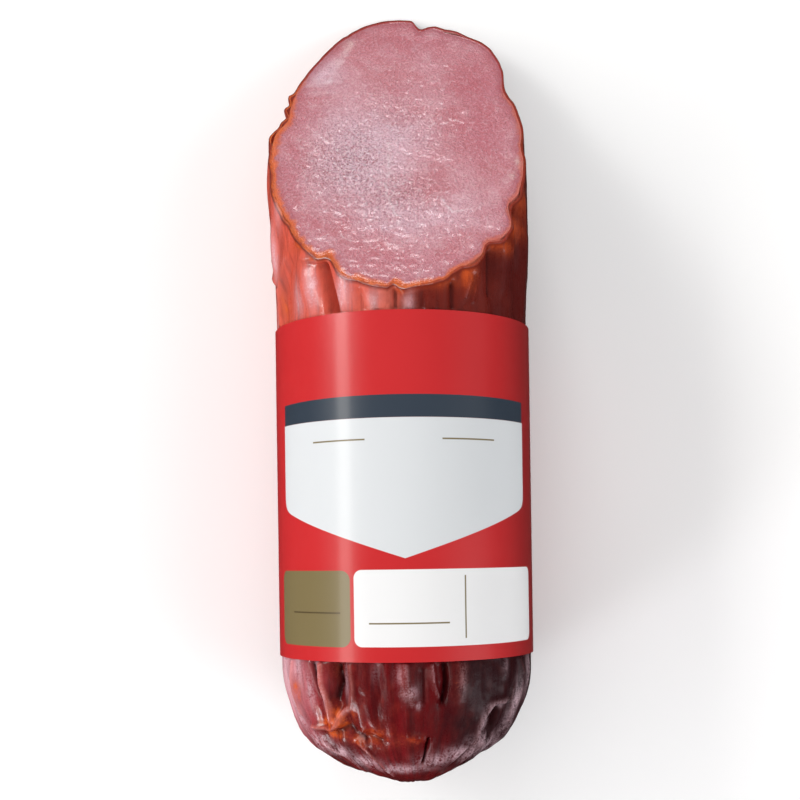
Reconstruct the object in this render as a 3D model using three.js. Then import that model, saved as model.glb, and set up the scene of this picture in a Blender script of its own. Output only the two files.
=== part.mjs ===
// Half a dry ham sausage, cut on a long slant, lying on its belly with a film band round its middle.
// Millimetres, +Z up. The axis runs along Y: the gathered end points to -Y and the cut end to +Y.
// The origin is under the middle of the bounding box, on the surface that the sausage lies on.
// The pieces are drawn round an axis at height 0, with y = 0 at the band's lower edge, and then stood up.

import * as THREE from "three";

const { smoothstep, lerp, degToRad, radToDeg, euclideanModulo } = THREE.MathUtils;

// Driving dimensions, in millimetres and degrees. Angles run round the axis from the top towards +X.
const BAND_RADIUS = 30;
const BAND_LENGTH = 75.5;
const FILM_THICKNESS = 0.3;
const LAP_THICKNESS = 0.3;
const LAP_ANGLES = [209, 233];
const CLEARANCE = 0.3;
const SKIN_THICKNESS = 0.6;
const BELLY_HALF_ANGLE = 15;
const DOME_START = -2.3;
const DOME_DEPTH = 26.7;
const TIP_RISE = 8;
const TIP_SHIFT = 0.4;
const CUT_MIDDLE = 121.8;
const CUT_SLOPE = 1.42;
const SWELL = 1.4;
const SWELL_LENGTH = 22;
const TAPER = 2.4;
const TAPER_START = 108;
const TAPER_END = 150;
const BOW = 0.7;
const BOW_MIDDLE = 105;
const BOW_HALF_LENGTH = 32;
const SEGMENTS = 72;

// What the driving dimensions give.
const SKIN_RADIUS = BAND_RADIUS - FILM_THICKNESS - CLEARANCE;
const BAND_BELLY = BAND_RADIUS * Math.cos(degToRad(BELLY_HALF_ANGLE));
const SKIN_BELLY = BAND_BELLY - FILM_THICKNESS - CLEARANCE;
const MEAT_INSET = SKIN_THICKNESS + CLEARANCE;

// Pleats of the skin at the cut end: the angle where each meets the cut and the band, its depth and half width.
const CUT_PLEATS = [
  { atCut: 168, atBand: 168, depth: 1.1, halfWidth: 8 },
  { atCut: 112, atBand: 112, depth: 1.0, halfWidth: 9 },
  { atCut: 86, atBand: 88, depth: 0.9, halfWidth: 7 },
  { atCut: 61, atBand: 64, depth: 1.7, halfWidth: 7 },
  { atCut: 42, atBand: 44, depth: 1.3, halfWidth: 6 },
  { atCut: 25, atBand: 27, depth: 1.5, halfWidth: 7 },
  { atCut: -3, atBand: -2, depth: 2.0, halfWidth: 8 },
  { atCut: -35, atBand: -30, depth: 1.6, halfWidth: 8 },
  { atCut: -53, atBand: -62, depth: 1.3, halfWidth: 8 },
  { atCut: -74, atBand: -79, depth: 1.1, halfWidth: 7 },
  { atCut: -99, atBand: -99, depth: 0.8, halfWidth: 8 },
  { atCut: -122, atBand: -122, depth: 1.4, halfWidth: 30 },
];
const PLEAT_AT_BAND = 0.6;
const PLEAT_FADE = 20;

// The one place where the far end bulges between two pleats.
const LOBE_ANGLE = 131;
const LOBE_HALF_WIDTH = 24;
const LOBE_HEIGHT = 3;
const LOBE_START = 115;
const LOBE_END = 145;

// Folds of the closed end: the angle of each, and its depth as a share of the radius it runs along.
const DOME_FOLDS = [
  { angle: -156, depth: 0.04 },
  { angle: -128, depth: 0.06 },
  { angle: -104, depth: 0.04 },
  { angle: -76, depth: 0.05 },
  { angle: -49, depth: 0.06 },
  { angle: -27, depth: 0.05 },
  { angle: 4, depth: 0.04 },
  { angle: 21, depth: 0.06 },
  { angle: 58, depth: 0.06 },
  { angle: 80, depth: 0.04 },
  { angle: 108, depth: 0.05 },
  { angle: 141, depth: 0.06 },
];
const DOME_FOLD_HALF_WIDTH = 9;
const DOME_FOLD_START = 12;
const DOME_FOLD_FULL = -16;

// Rows of the skin: turns round the closed end, then shares of the band's length, then of the way to the cut.
const DOME_TURNS = [14, 32, 50, 66, 79].map(degToRad);
const BAND_SHARES = [0, 0.5, 1];
const CUT_SHARES = [0.12, 0.32, 0.55, 0.78, 1];

// The turn from one angle to another by the short way, in degrees, from -180 to 180.
function turnBetween(from, to) {
  return euclideanModulo(to - from + 180, 360) - 180;
}

// A valley 1 deep at its middle that fades to 0 at its half width.
function valley(distance, halfWidth) {
  return 1 - smoothstep(Math.abs(distance), 0, halfWidth);
}

// How far the pleats of the cut end draw the skin in, at an angle in degrees.
function pleatDepth(angle, y) {
  const along = smoothstep(y, BAND_LENGTH, BAND_LENGTH + SWELL_LENGTH);
  const shown = smoothstep(y, BAND_LENGTH - PLEAT_FADE, BAND_LENGTH) * lerp(PLEAT_AT_BAND, 1, along);
  let depth = 0;
  for (const pleat of CUT_PLEATS) {
    const middle = pleat.atBand + turnBetween(pleat.atBand, pleat.atCut) * along;
    depth += pleat.depth * shown * valley(turnBetween(middle, angle), pleat.halfWidth);
  }
  return depth;
}

// How far the folds of the closed end draw the skin in, as a share of its radius there.
function foldShare(angle, y) {
  const shown = 1 - smoothstep(y, DOME_FOLD_FULL, DOME_FOLD_START);
  let share = 0;
  for (const fold of DOME_FOLDS) {
    share += fold.depth * shown * valley(turnBetween(fold.angle, angle), DOME_FOLD_HALF_WIDTH);
  }
  return share;
}

// How far the cut end stands out from the skin under the band: it swells, tapers and bulges at one place.
function swelling(angle, y) {
  const swell = SWELL * smoothstep(y, BAND_LENGTH, BAND_LENGTH + SWELL_LENGTH);
  const taper = TAPER * smoothstep(y, TAPER_START, TAPER_END);
  const lobe = LOBE_HEIGHT * smoothstep(y, LOBE_START, LOBE_END);
  return swell - taper + lobe * valley(turnBetween(LOBE_ANGLE, angle), LOBE_HALF_WIDTH);
}

// The skin's outer radius, at an angle in degrees. bulk is 1 along the sausage and falls to 0 at the tip.
function skinRadius(angle, y, bulk) {
  return SKIN_RADIUS * bulk * (1 - foldShare(angle, y)) + swelling(angle, y) - pleatDepth(angle, y);
}

// How far the axis bows towards +X.
function bow(y) {
  return -BOW * valley(y - BOW_MIDDLE, BOW_HALF_LENGTH);
}

// Where the slanted cut stands at a height over the axis.
function cutAt(height) {
  return CUT_MIDDLE - CUT_SLOPE * height;
}

// A point of the closed end or under the band, the given depth inside the skin's outside.
function pointNearBand(angle, y, bulk, inset) {
  const degrees = radToDeg(angle);
  const radius = Math.max(skinRadius(degrees, y, bulk) - inset * bulk, 0);
  const closeness = 1 - bulk ** 2;
  const x = radius * Math.sin(angle) + TIP_SHIFT * closeness;
  const z = Math.max(radius * Math.cos(angle) + TIP_RISE * closeness, inset - SKIN_BELLY);
  return new THREE.Vector3(x, y, z);
}

// A point beyond the band, at a share of the way to the slanted cut, inside the skin's outside by an inset.
function pointBeyondBand(angle, share, inset) {
  const degrees = radToDeg(angle);
  const heightAt = (y, depth) => {
    const height = (skinRadius(degrees, y, 1) - depth) * Math.cos(angle);
    return Math.max(height, depth - SKIN_BELLY);
  };
  let end = cutAt(heightAt(CUT_MIDDLE, 0));
  for (let round = 0; round < 12; round += 1) {
    end = cutAt(heightAt(end, 0));
  }
  const skinY = lerp(BAND_LENGTH, end, share);
  const x = (skinRadius(degrees, skinY, 1) - inset) * Math.sin(angle) + bow(skinY);
  const z = heightAt(skinY, inset);
  const y = skinY + share * (cutAt(z) - cutAt(heightAt(skinY, 0)));
  return new THREE.Vector3(x, y, z);
}

// The rows of one surface of the sausage, from the tip to the cut: each gives its point at an angle.
function rowsAt(inset) {
  const depth = DOME_DEPTH - inset;
  const rows = [() => new THREE.Vector3(TIP_SHIFT, DOME_START - depth, TIP_RISE)];
  for (const turn of DOME_TURNS) {
    rows.push((angle) => pointNearBand(angle, DOME_START - depth * Math.cos(turn), Math.sin(turn), inset));
  }
  rows.push((angle) => pointNearBand(angle, DOME_START, 1, inset));
  for (const share of BAND_SHARES) {
    rows.push((angle) => pointNearBand(angle, share * BAND_LENGTH, 1, inset));
  }
  for (const share of CUT_SHARES) {
    rows.push((angle) => pointBeyondBand(angle, share, inset));
  }
  return rows;
}

// A solid turned round the axis, whose every row is then shaped. It is lathed from a plain outline with one
// point for each row, so that LatheGeometry makes its faces, and its points are moved to where the rows say.
function shapedLathe(rows) {
  const outline = rows.map((row, index) => new THREE.Vector2(1, index));
  const geometry = new THREE.LatheGeometry(outline, SEGMENTS);
  const position = geometry.getAttribute("position");
  for (let segment = 0; segment <= SEGMENTS; segment += 1) {
    const angle = (segment % SEGMENTS) * ((2 * Math.PI) / SEGMENTS);
    rows.forEach((row, index) => {
      const point = row(angle);
      position.setXYZ(segment * rows.length + index, point.x, point.y, point.z);
    });
  }
  geometry.computeVertexNormals();
  return geometry;
}

// LatheGeometry splits its four-sided faces along one diagonal, which looks turned from within. From firstRow on,
// this splits them along the other one, so that the facets of an inside lie parallel to those of the outside.
function turnDiagonals(geometry, rowCount, firstRow) {
  const index = geometry.getIndex();
  for (let start = 0; start < index.count; start += 6) {
    const lower = index.getX(start);
    const lowerNext = index.getX(start + 1);
    const upper = index.getX(start + 2);
    const upperNext = index.getX(start + 3);
    if (lower % rowCount >= firstRow) {
      index.setX(start + 2, upperNext);
      index.setX(start + 3, lower);
      index.setX(start + 4, upperNext);
      index.setX(start + 5, upper);
    }
  }
  return geometry;
}

// The filling: from the tip to the cut, and closed across the cut's flat face.
function meatGeometry() {
  const middleOfCut = () => new THREE.Vector3(bow(CUT_MIDDLE), CUT_MIDDLE, 0);
  return shapedLathe([...rowsAt(MEAT_INSET), middleOfCut]);
}

// The skin: out along its outside, over the rim at the cut, and back along its inside.
function casingGeometry() {
  const outside = rowsAt(0);
  const inside = rowsAt(SKIN_THICKNESS).reverse();
  const rows = [...outside, ...inside];
  return turnDiagonals(shapedLathe(rows), rows.length, outside.length);
}

// The film band: a closed ring with a flat belly, thicker where its two ends lap.
function bandGeometry() {
  const corner = (outer, y) => (angle) => {
    const degrees = euclideanModulo(radToDeg(angle), 360);
    const lapped = degrees > LAP_ANGLES[0] && degrees < LAP_ANGLES[1];
    const radius = BAND_RADIUS - (outer ? 0 : FILM_THICKNESS) + (outer && lapped ? LAP_THICKNESS : 0);
    const belly = BAND_BELLY - (outer ? 0 : FILM_THICKNESS);
    return new THREE.Vector3(radius * Math.sin(angle), y, Math.max(radius * Math.cos(angle), -belly));
  };
  const lower = corner(false, 0);
  return shapedLathe([lower, corner(true, 0), corner(true, BAND_LENGTH), corner(false, BAND_LENGTH), lower]);
}

function piece(name, geometry, color, roughness) {
  const mesh = new THREE.Mesh(geometry, new THREE.MeshStandardMaterial({ color, roughness, metalness: 0 }));
  mesh.name = name;
  return mesh;
}

const sausage = new THREE.Group();
sausage.add(piece("meat", meatGeometry(), 0xc98a94, 0.45));
sausage.add(piece("casing", casingGeometry(), 0x8c3a26, 0.35));
sausage.add(piece("label_band", bandGeometry(), 0xd6342f, 0.4));

// Stands the sausage on its belly, with the middle of its bounding box over the origin.
const box = new THREE.Box3().setFromObject(sausage);
const middle = box.getCenter(new THREE.Vector3());
sausage.position.set(-middle.x, -middle.y, -box.min.z);

export default sausage;
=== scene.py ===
"""Half of a dry ham sausage, laid on its belly: sliced meat in a smoked casing, with a printed band round it.

Lengths are millimetres in the sausage's own layout: its axis lies at height 0, Y runs from the band's lower
edge towards the slanted cut, and an angle is counted in degrees from the top line, growing towards +X. The
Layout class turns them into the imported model's metres.
"""

import logging
import math
from collections.abc import Iterator
from dataclasses import dataclass
from enum import Enum

import bmesh
import bpy
import numpy as np
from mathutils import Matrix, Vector, noise


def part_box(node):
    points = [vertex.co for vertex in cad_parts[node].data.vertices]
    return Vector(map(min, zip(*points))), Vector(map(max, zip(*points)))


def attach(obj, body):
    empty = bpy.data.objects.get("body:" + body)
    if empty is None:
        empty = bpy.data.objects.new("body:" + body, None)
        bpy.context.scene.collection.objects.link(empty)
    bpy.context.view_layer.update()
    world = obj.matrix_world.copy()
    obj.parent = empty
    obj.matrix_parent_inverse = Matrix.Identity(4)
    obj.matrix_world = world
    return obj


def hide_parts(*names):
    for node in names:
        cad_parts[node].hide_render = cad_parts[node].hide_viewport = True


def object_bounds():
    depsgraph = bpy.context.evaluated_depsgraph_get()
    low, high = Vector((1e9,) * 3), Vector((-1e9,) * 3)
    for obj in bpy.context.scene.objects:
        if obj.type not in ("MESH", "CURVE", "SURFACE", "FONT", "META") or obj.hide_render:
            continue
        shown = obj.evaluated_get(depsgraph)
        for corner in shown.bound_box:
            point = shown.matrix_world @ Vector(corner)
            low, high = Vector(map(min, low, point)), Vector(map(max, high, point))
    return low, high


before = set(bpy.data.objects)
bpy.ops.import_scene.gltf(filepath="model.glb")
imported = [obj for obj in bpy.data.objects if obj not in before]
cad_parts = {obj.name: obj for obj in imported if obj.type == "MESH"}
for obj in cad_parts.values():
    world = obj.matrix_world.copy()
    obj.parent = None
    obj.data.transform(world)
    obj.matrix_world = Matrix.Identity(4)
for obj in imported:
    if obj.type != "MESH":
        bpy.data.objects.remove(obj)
CAD_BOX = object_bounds()

Array = np.ndarray
Colour = tuple[float, float, float, float]
Place = tuple[float, float]

BODY = "root"
MM = 0.001
WELD = 1e-7
SHARP = math.radians(55.0)
FAR = 99.0
LOG = logging.getLogger("sausage")


def smoothstep(value: Array, low: float | Array, high: float | Array) -> Array:
    """Eases from 0 at low to 1 at high.

    Args:
        value: What is measured.
        low: Where the ramp starts.
        high: Where it ends.

    Returns:
        The eased share at each value.
    """
    share = np.clip((value - low) / (high - low), 0.0, 1.0)
    return share * share * (3.0 - 2.0 * share)


def bump(distance: Array, reach: float | Array) -> Array:
    """A rounded bump: 1 at distance 0, easing to 0 at reach on both sides."""
    return 1.0 - smoothstep(np.abs(distance), 0.0, reach)


def held(value: Array, low: float, high: float, give: float = 0.6) -> Array:
    """Keeps values between two limits, easing them in over the last stretch before each.

    Args:
        value: The values.
        low: The lower limit.
        high: The upper limit.
        give: How long the eased stretch is.

    Returns:
        The kept values.
    """
    over = np.maximum(value - (high - give), 0.0)
    under = np.maximum((low + give) - value, 0.0)
    return value - over + give * np.tanh(over / give) + under - give * np.tanh(under / give)


def turn_between(start: float | Array, end: float | Array) -> Array:
    """The signed turn in degrees from one angle to another, the short way round."""
    return (end - start + 540.0) % 360.0 - 180.0


def ink(red: int, green: int, blue: int) -> Colour:
    """A display colour, 0 to 255 a channel, as the linear colour that a shader takes."""
    shares = (channel / 255.0 for channel in (red, green, blue))
    linear = [s / 12.92 if s <= 0.04045 else ((s + 0.055) / 1.055) ** 2.4 for s in shares]
    return (linear[0], linear[1], linear[2], 1.0)


def noise_over(points: Array, scale: float | tuple[float, float, float], seed: float) -> Array:
    """Smooth noise at each point.

    Args:
        points: One row of x, y, z for each point.
        scale: Size of the noise's features along each axis, in the points' units.
        seed: Shifts the pattern, so that two layers differ.

    Returns:
        One value from -1 to 1 for each point.
    """
    shifted = points / np.asarray(scale) + seed
    return np.fromiter((noise.noise(row) for row in shifted.tolist()), float, len(shifted))


# ---------------------------------------------------------------------------------------------- shaders


Operand = "Value | float | int"


class Value:
    """A shader socket that takes part in Python arithmetic: each operation adds its Math node."""

    def __init__(self, graph: "Graph", socket: bpy.types.NodeSocket) -> None:
        """Wraps an output socket of a graph."""
        self.graph = graph
        self.socket = socket

    def math(self, operation: str, *operands: Operand) -> "Value":
        """Adds a Math node.

        Args:
            operation: The node's operation.
            *operands: The values of its inputs, in order.

        Returns:
            The node's result.
        """
        return self.graph.node("ShaderNodeMath", {"operation": operation}, dict(enumerate(operands)))

    def __add__(self, other: Operand) -> "Value":
        """This plus the other."""
        return self.math("ADD", self, other)

    __radd__ = __add__

    def __sub__(self, other: Operand) -> "Value":
        """This less the other."""
        return self.math("SUBTRACT", self, other)

    def __rsub__(self, other: Operand) -> "Value":
        """The other less this."""
        return self.math("SUBTRACT", other, self)

    def __mul__(self, other: Operand) -> "Value":
        """This times the other."""
        return self.math("MULTIPLY", self, other)

    __rmul__ = __mul__

    def __truediv__(self, other: Operand) -> "Value":
        """This divided by the other."""
        return self.math("DIVIDE", self, other)

    def __abs__(self) -> "Value":
        """The size without its sign."""
        return self.math("ABSOLUTE", self)

    def at_least(self, other: Operand) -> "Value":
        """The greater of the two."""
        return self.math("MAXIMUM", self, other)

    def at_most(self, other: Operand) -> "Value":
        """The smaller of the two."""
        return self.math("MINIMUM", self, other)

    def root(self) -> "Value":
        """The square root."""
        return self.math("SQRT", self)

    def ramp(self, low: float, high: float, start: float = 0.0, end: float = 1.0) -> "Value":
        """Eases from start at low to end at high.

        Args:
            low: Value at which the ramp starts.
            high: Value at which it ends.
            start: Result up to low.
            end: Result from high on.

        Returns:
            The eased value.
        """
        settings = {"interpolation_type": "SMOOTHSTEP"}
        sockets = {"Value": self, "From Min": low, "From Max": high, "To Min": start, "To Max": end}
        return self.graph.node("ShaderNodeMapRange", settings, sockets)


class Graph:
    """The node tree of one material, or of the world."""

    MIX_FACTOR = 0
    MIX_COLOURS = (6, 7)
    MIX_RESULT = 2

    def __init__(self, owner: bpy.types.Material | bpy.types.World) -> None:
        """Empties the owner's node tree."""
        owner.use_nodes = True
        self.owner = owner
        self.tree = owner.node_tree
        self.tree.nodes.clear()

    @classmethod
    def for_finish(cls, name: str) -> "Graph":
        """Starts the graph of a new material."""
        return cls(bpy.data.materials.new(name))

    def add(
        self,
        kind: str,
        settings: dict[str, object] | None = None,
        sockets: dict[str | int, object] | None = None,
    ) -> bpy.types.Node:
        """Adds a node.

        Args:
            kind: The node's type.
            settings: Its properties, set first.
            sockets: A value, or a link to another node's output, for each named or numbered input.

        Returns:
            The node.
        """
        made = self.tree.nodes.new(kind)
        for name, setting in (settings or {}).items():
            setattr(made, name, setting)
        for name, given in (sockets or {}).items():
            if isinstance(given, Value):
                self.tree.links.new(given.socket, made.inputs[name])
            else:
                made.inputs[name].default_value = given
        return made

    def node(
        self,
        kind: str,
        settings: dict[str, object] | None = None,
        sockets: dict[str | int, object] | None = None,
        output: str | int = 0,
    ) -> Value:
        """Adds a node as add() does, and returns the output of that name or number."""
        return Value(self, self.add(kind, settings, sockets).outputs[output])

    def mix(self, share: Operand, first: object, second: object) -> Value:
        """Mixes two colours.

        Args:
            share: 0 for the first colour, 1 for the second.
            first: A colour or a colour output.
            second: A colour or a colour output.

        Returns:
            The mixed colour.
        """
        first_input, second_input = self.MIX_COLOURS
        settings = {"data_type": "RGBA", "blend_type": "MIX", "clamp_factor": True}
        sockets = {self.MIX_FACTOR: share, first_input: first, second_input: second}
        return self.node("ShaderNodeMix", settings, sockets, self.MIX_RESULT)

    def attribute(self, name: str) -> Value:
        """A number that the mesh stores for each vertex."""
        return self.node("ShaderNodeAttribute", {"attribute_name": name}, output="Fac")

    def place(self, origin: Vector) -> Value:
        """The surface's place in millimetres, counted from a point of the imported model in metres."""
        where = self.node("ShaderNodeTexCoord", output="Object")
        centred = self.node("ShaderNodeVectorMath", {"operation": "SUBTRACT"}, {0: where, 1: origin})
        sockets = {0: centred, "Scale": 1.0 / MM}
        return self.node("ShaderNodeVectorMath", {"operation": "SCALE"}, sockets)

    def axes(self, vector: Value) -> tuple[Value, Value, Value]:
        """The three parts of a vector."""
        parts = self.add("ShaderNodeSeparateXYZ", None, {0: vector}).outputs
        return Value(self, parts["X"]), Value(self, parts["Y"]), Value(self, parts["Z"])

    def combined(self, x: Value, y: Value, z: Value) -> Value:
        """Three numbers as one vector."""
        return self.node("ShaderNodeCombineXYZ", None, {"X": x, "Y": y, "Z": z})

    def stretched(self, vector: Value, scale: tuple[float, float, float]) -> Value:
        """A place with each part multiplied by its own scale."""
        return self.node("ShaderNodeVectorMath", {"operation": "MULTIPLY"}, {0: vector, 1: scale})

    def noise(self, place: Value, scale: float, detail: float = 2.0, roughness: float = 0.5) -> Value:
        """Cloudy noise from 0 to 1.

        Args:
            place: Where it is looked up.
            scale: Features in each unit of the place.
            detail: How many finer layers lie over it.
            roughness: How strong the finer layers are.

        Returns:
            The noise.
        """
        sockets = {"Vector": place, "Scale": scale, "Detail": detail, "Roughness": roughness}
        return self.node("ShaderNodeTexNoise", None, sockets, "Fac")

    def relief(self, height: Value, distance: float) -> Value:
        """A bump normal from a height of 0 to 1 that stands for a distance in millimetres."""
        sockets = {"Strength": 1.0, "Distance": distance * MM, "Height": height}
        return self.node("ShaderNodeBump", None, sockets)

    def surface(self, sockets: dict[str | int, object]) -> Value:
        """Adds a surface shader with those socket values and links."""
        return self.node("ShaderNodeBsdfPrincipled", None, sockets)

    def blended(self, share: Value, first: Value, second: Value) -> Value:
        """Mixes two surfaces: 0 for the first, 1 for the second."""
        return self.node("ShaderNodeMixShader", None, {0: share, 1: first, 2: second})

    def finish(self, surface: Value) -> bpy.types.Material:
        """Closes the graph with its surface and returns the material."""
        self.add("ShaderNodeOutputMaterial", None, {"Surface": surface})
        return self.owner


# ---------------------------------------------------------------------------------------------- layout


@dataclass(frozen=True)
class Layout:
    """Where the sausage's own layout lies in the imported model."""

    origin: Vector

    @classmethod
    def from_band(cls, band_radius: float, node: str = "label_band") -> "Layout":
        """Finds the axis from the band's box.

        Args:
            band_radius: Outer radius of the band, in millimetres.
            node: The band's node.

        Returns:
            The layout whose origin is on the axis at the band's lower edge.
        """
        low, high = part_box(node)
        axis_x = high.x - band_radius * MM
        return cls(Vector((axis_x, low.y, high.z - band_radius * MM)))

    def unplaced(self, point: Vector) -> Vector:
        """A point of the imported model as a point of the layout."""
        return (point - self.origin) / MM

    def placed(self, points: Array) -> Array:
        """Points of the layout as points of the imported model, in metres."""
        return points * MM + np.array(self.origin)


# ---------------------------------------------------------------------------------------------- outer form


@dataclass(frozen=True)
class Pleat:
    """A lengthwise valley beyond the band."""

    at_cut: float
    at_band: float
    depth: float
    half_width: float


@dataclass(frozen=True)
class DomeFold:
    """A valley that gathers the dome towards its tip."""

    angle: float
    share: float


PLEATS = (
    Pleat(168, 168, 0.9, 5),
    Pleat(112, 112, 0.9, 9),
    Pleat(86, 88, 0.8, 7),
    Pleat(61, 64, 1.4, 7),
    Pleat(42, 44, 1.1, 6),
    Pleat(25, 27, 0.8, 7),
    Pleat(-3, -2, 1.4, 4),
    Pleat(-35, -30, 2.3, 5.5),
    Pleat(-55, -62, 0.6, 8),
    Pleat(-76, -79, 0.6, 7),
    Pleat(-99, -99, 0.7, 6),
    Pleat(-122, -122, 1.2, 30),
)

DOME_FOLDS = (
    DomeFold(-156, 0.04),
    DomeFold(-128, 0.06),
    DomeFold(-104, 0.04),
    DomeFold(-76, 0.045),
    DomeFold(-47, 0.045),
    DomeFold(-30, 0.04),
    DomeFold(7, 0.03),
    DomeFold(15, 0.045),
    DomeFold(57, 0.05),
    DomeFold(80, 0.04),
    DomeFold(108, 0.05),
    DomeFold(141, 0.06),
)


BAND_RADIUS = 30.0
BAND_STEP = 0.6
BELLY = BAND_RADIUS * math.cos(math.radians(15.0))


@dataclass(frozen=True)
class OuterForm:
    """The tight skin's form, which the casing, the meat and the band all follow."""

    band_radius: float = BAND_RADIUS
    band_length: float = 75.5
    band_belly: float = BELLY
    radius: float = 29.4
    skin_belly: float = BELLY - BAND_STEP
    dome_start: float = -2.3
    dome_depth: float = 26.7
    tip_rise: float = 8.0
    tip_shift: float = 1.1
    cut_middle: float = 121.8
    cut_slope: float = 1.42
    swell: float = 1.4
    swell_length: float = 22.0
    taper: float = 2.4
    taper_start: float = 108.0
    taper_end: float = 150.0
    bow: float = 0.7
    bow_middle: float = 105.0
    bow_half_length: float = 32.0
    pleat_at_band: float = 0.6
    pleat_fade: float = 20.0
    lobe_angle: float = 131.0
    lobe_half_width: float = 24.0
    lobe_height: float = 3.0
    lobe_start: float = 115.0
    lobe_end: float = 145.0
    fold_half_width: float = 8.0
    fold_start: float = 12.0
    fold_full: float = -16.0
    end_rounds: int = 12

    def pleat_depth(self, angle: Array, length: Array) -> Array:
        """How deep the lengthwise pleats press the skin in.

        Args:
            angle: Angles round the axis.
            length: Places along it.

        Returns:
            The depths.
        """
        end = self.band_length
        along = smoothstep(length, end, end + self.swell_length)
        shown = smoothstep(length, end - self.pleat_fade, end)
        shown = shown * (self.pleat_at_band + (1.0 - self.pleat_at_band) * along)
        depth = np.zeros_like(angle)
        for pleat in PLEATS:
            middle = pleat.at_band + turn_between(pleat.at_band, pleat.at_cut) * along
            depth += pleat.depth * bump(turn_between(middle, angle), pleat.half_width)
        return depth * shown

    def fold_share(self, angle: Array, length: Array) -> Array:
        """The share of the radius that the dome's folds take away.

        Args:
            angle: Angles round the axis.
            length: Places along it.

        Returns:
            The shares.
        """
        share = np.zeros_like(angle)
        for fold in DOME_FOLDS:
            share += fold.share * bump(turn_between(fold.angle, angle), self.fold_half_width)
        return share * (1.0 - smoothstep(length, self.fold_full, self.fold_start))

    def swelling(self, angle: Array, length: Array) -> Array:
        """How far the skin stands out beyond the band, or has shrunk towards the cut's low end.

        Args:
            angle: Angles round the axis.
            length: Places along it.

        Returns:
            The heights.
        """
        end = self.band_length
        swell = self.swell * smoothstep(length, end, end + self.swell_length)
        taper = self.taper * smoothstep(length, self.taper_start, self.taper_end)
        lobe = self.lobe_height * smoothstep(length, self.lobe_start, self.lobe_end)
        return swell - taper + lobe * bump(turn_between(self.lobe_angle, angle), self.lobe_half_width)

    def skin_radius(self, angle: Array, length: Array, bulk: Array | float = 1.0) -> Array:
        """The outside's distance from the axis.

        Args:
            angle: Angles round the axis.
            length: Places along it.
            bulk: 1 on the barrel, and the dome's share of its full radius.

        Returns:
            The radii.
        """
        folded = self.radius * bulk * (1.0 - self.fold_share(angle, length))
        return folded + self.swelling(angle, length) - self.pleat_depth(angle, length)

    def bend(self, length: Array) -> Array:
        """How far the axis bows sideways."""
        return -self.bow * bump(length - self.bow_middle, self.bow_half_length)

    def cut_at(self, height: Array) -> Array:
        """Where along the axis the cut lies at a height."""
        return self.cut_middle - self.cut_slope * height

    def end_of(self, angle: Array, inset: float) -> Array:
        """Where the skin meets the cut at each angle.

        Args:
            angle: Angles round the axis.
            inset: How far below the outside.

        Returns:
            The places along the axis.
        """
        end = np.full_like(angle, self.cut_middle)
        for _ in range(self.end_rounds):
            end = self.cut_at(self.height_at(angle, end, inset))
        return end

    def height_at(self, angle: Array, length: Array, inset: float) -> Array:
        """Height over the axis of a point below the outside, kept above the flat belly."""
        radial = self.skin_radius(angle, length) - inset
        return np.maximum(radial * np.cos(np.radians(angle)), inset - self.skin_belly)


FORM = OuterForm()


# ---------------------------------------------------------------------------------------------- skin relief


class Edge(Enum):
    """How a crease stands in the skin."""

    EVEN = "even"
    STEEP_RIGHT = "steep on its right, going along its path"
    STEEP_LEFT = "steep on its left, going along its path"


@dataclass(frozen=True)
class Crease:
    """A pinched line in the skin, as (angle, length) points: raised above a height of 0, else pressed in."""

    path: tuple[Place, ...]
    height: float
    width: float
    edge: Edge = Edge.EVEN


@dataclass(frozen=True)
class Stain:
    """A patch on the skin: the amber stains where smoke and fat have gathered, and the pale patches of
    painted sheen.
    """

    angle: float
    length: float
    across: float
    along: float
    strength: float = 1.0


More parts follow.
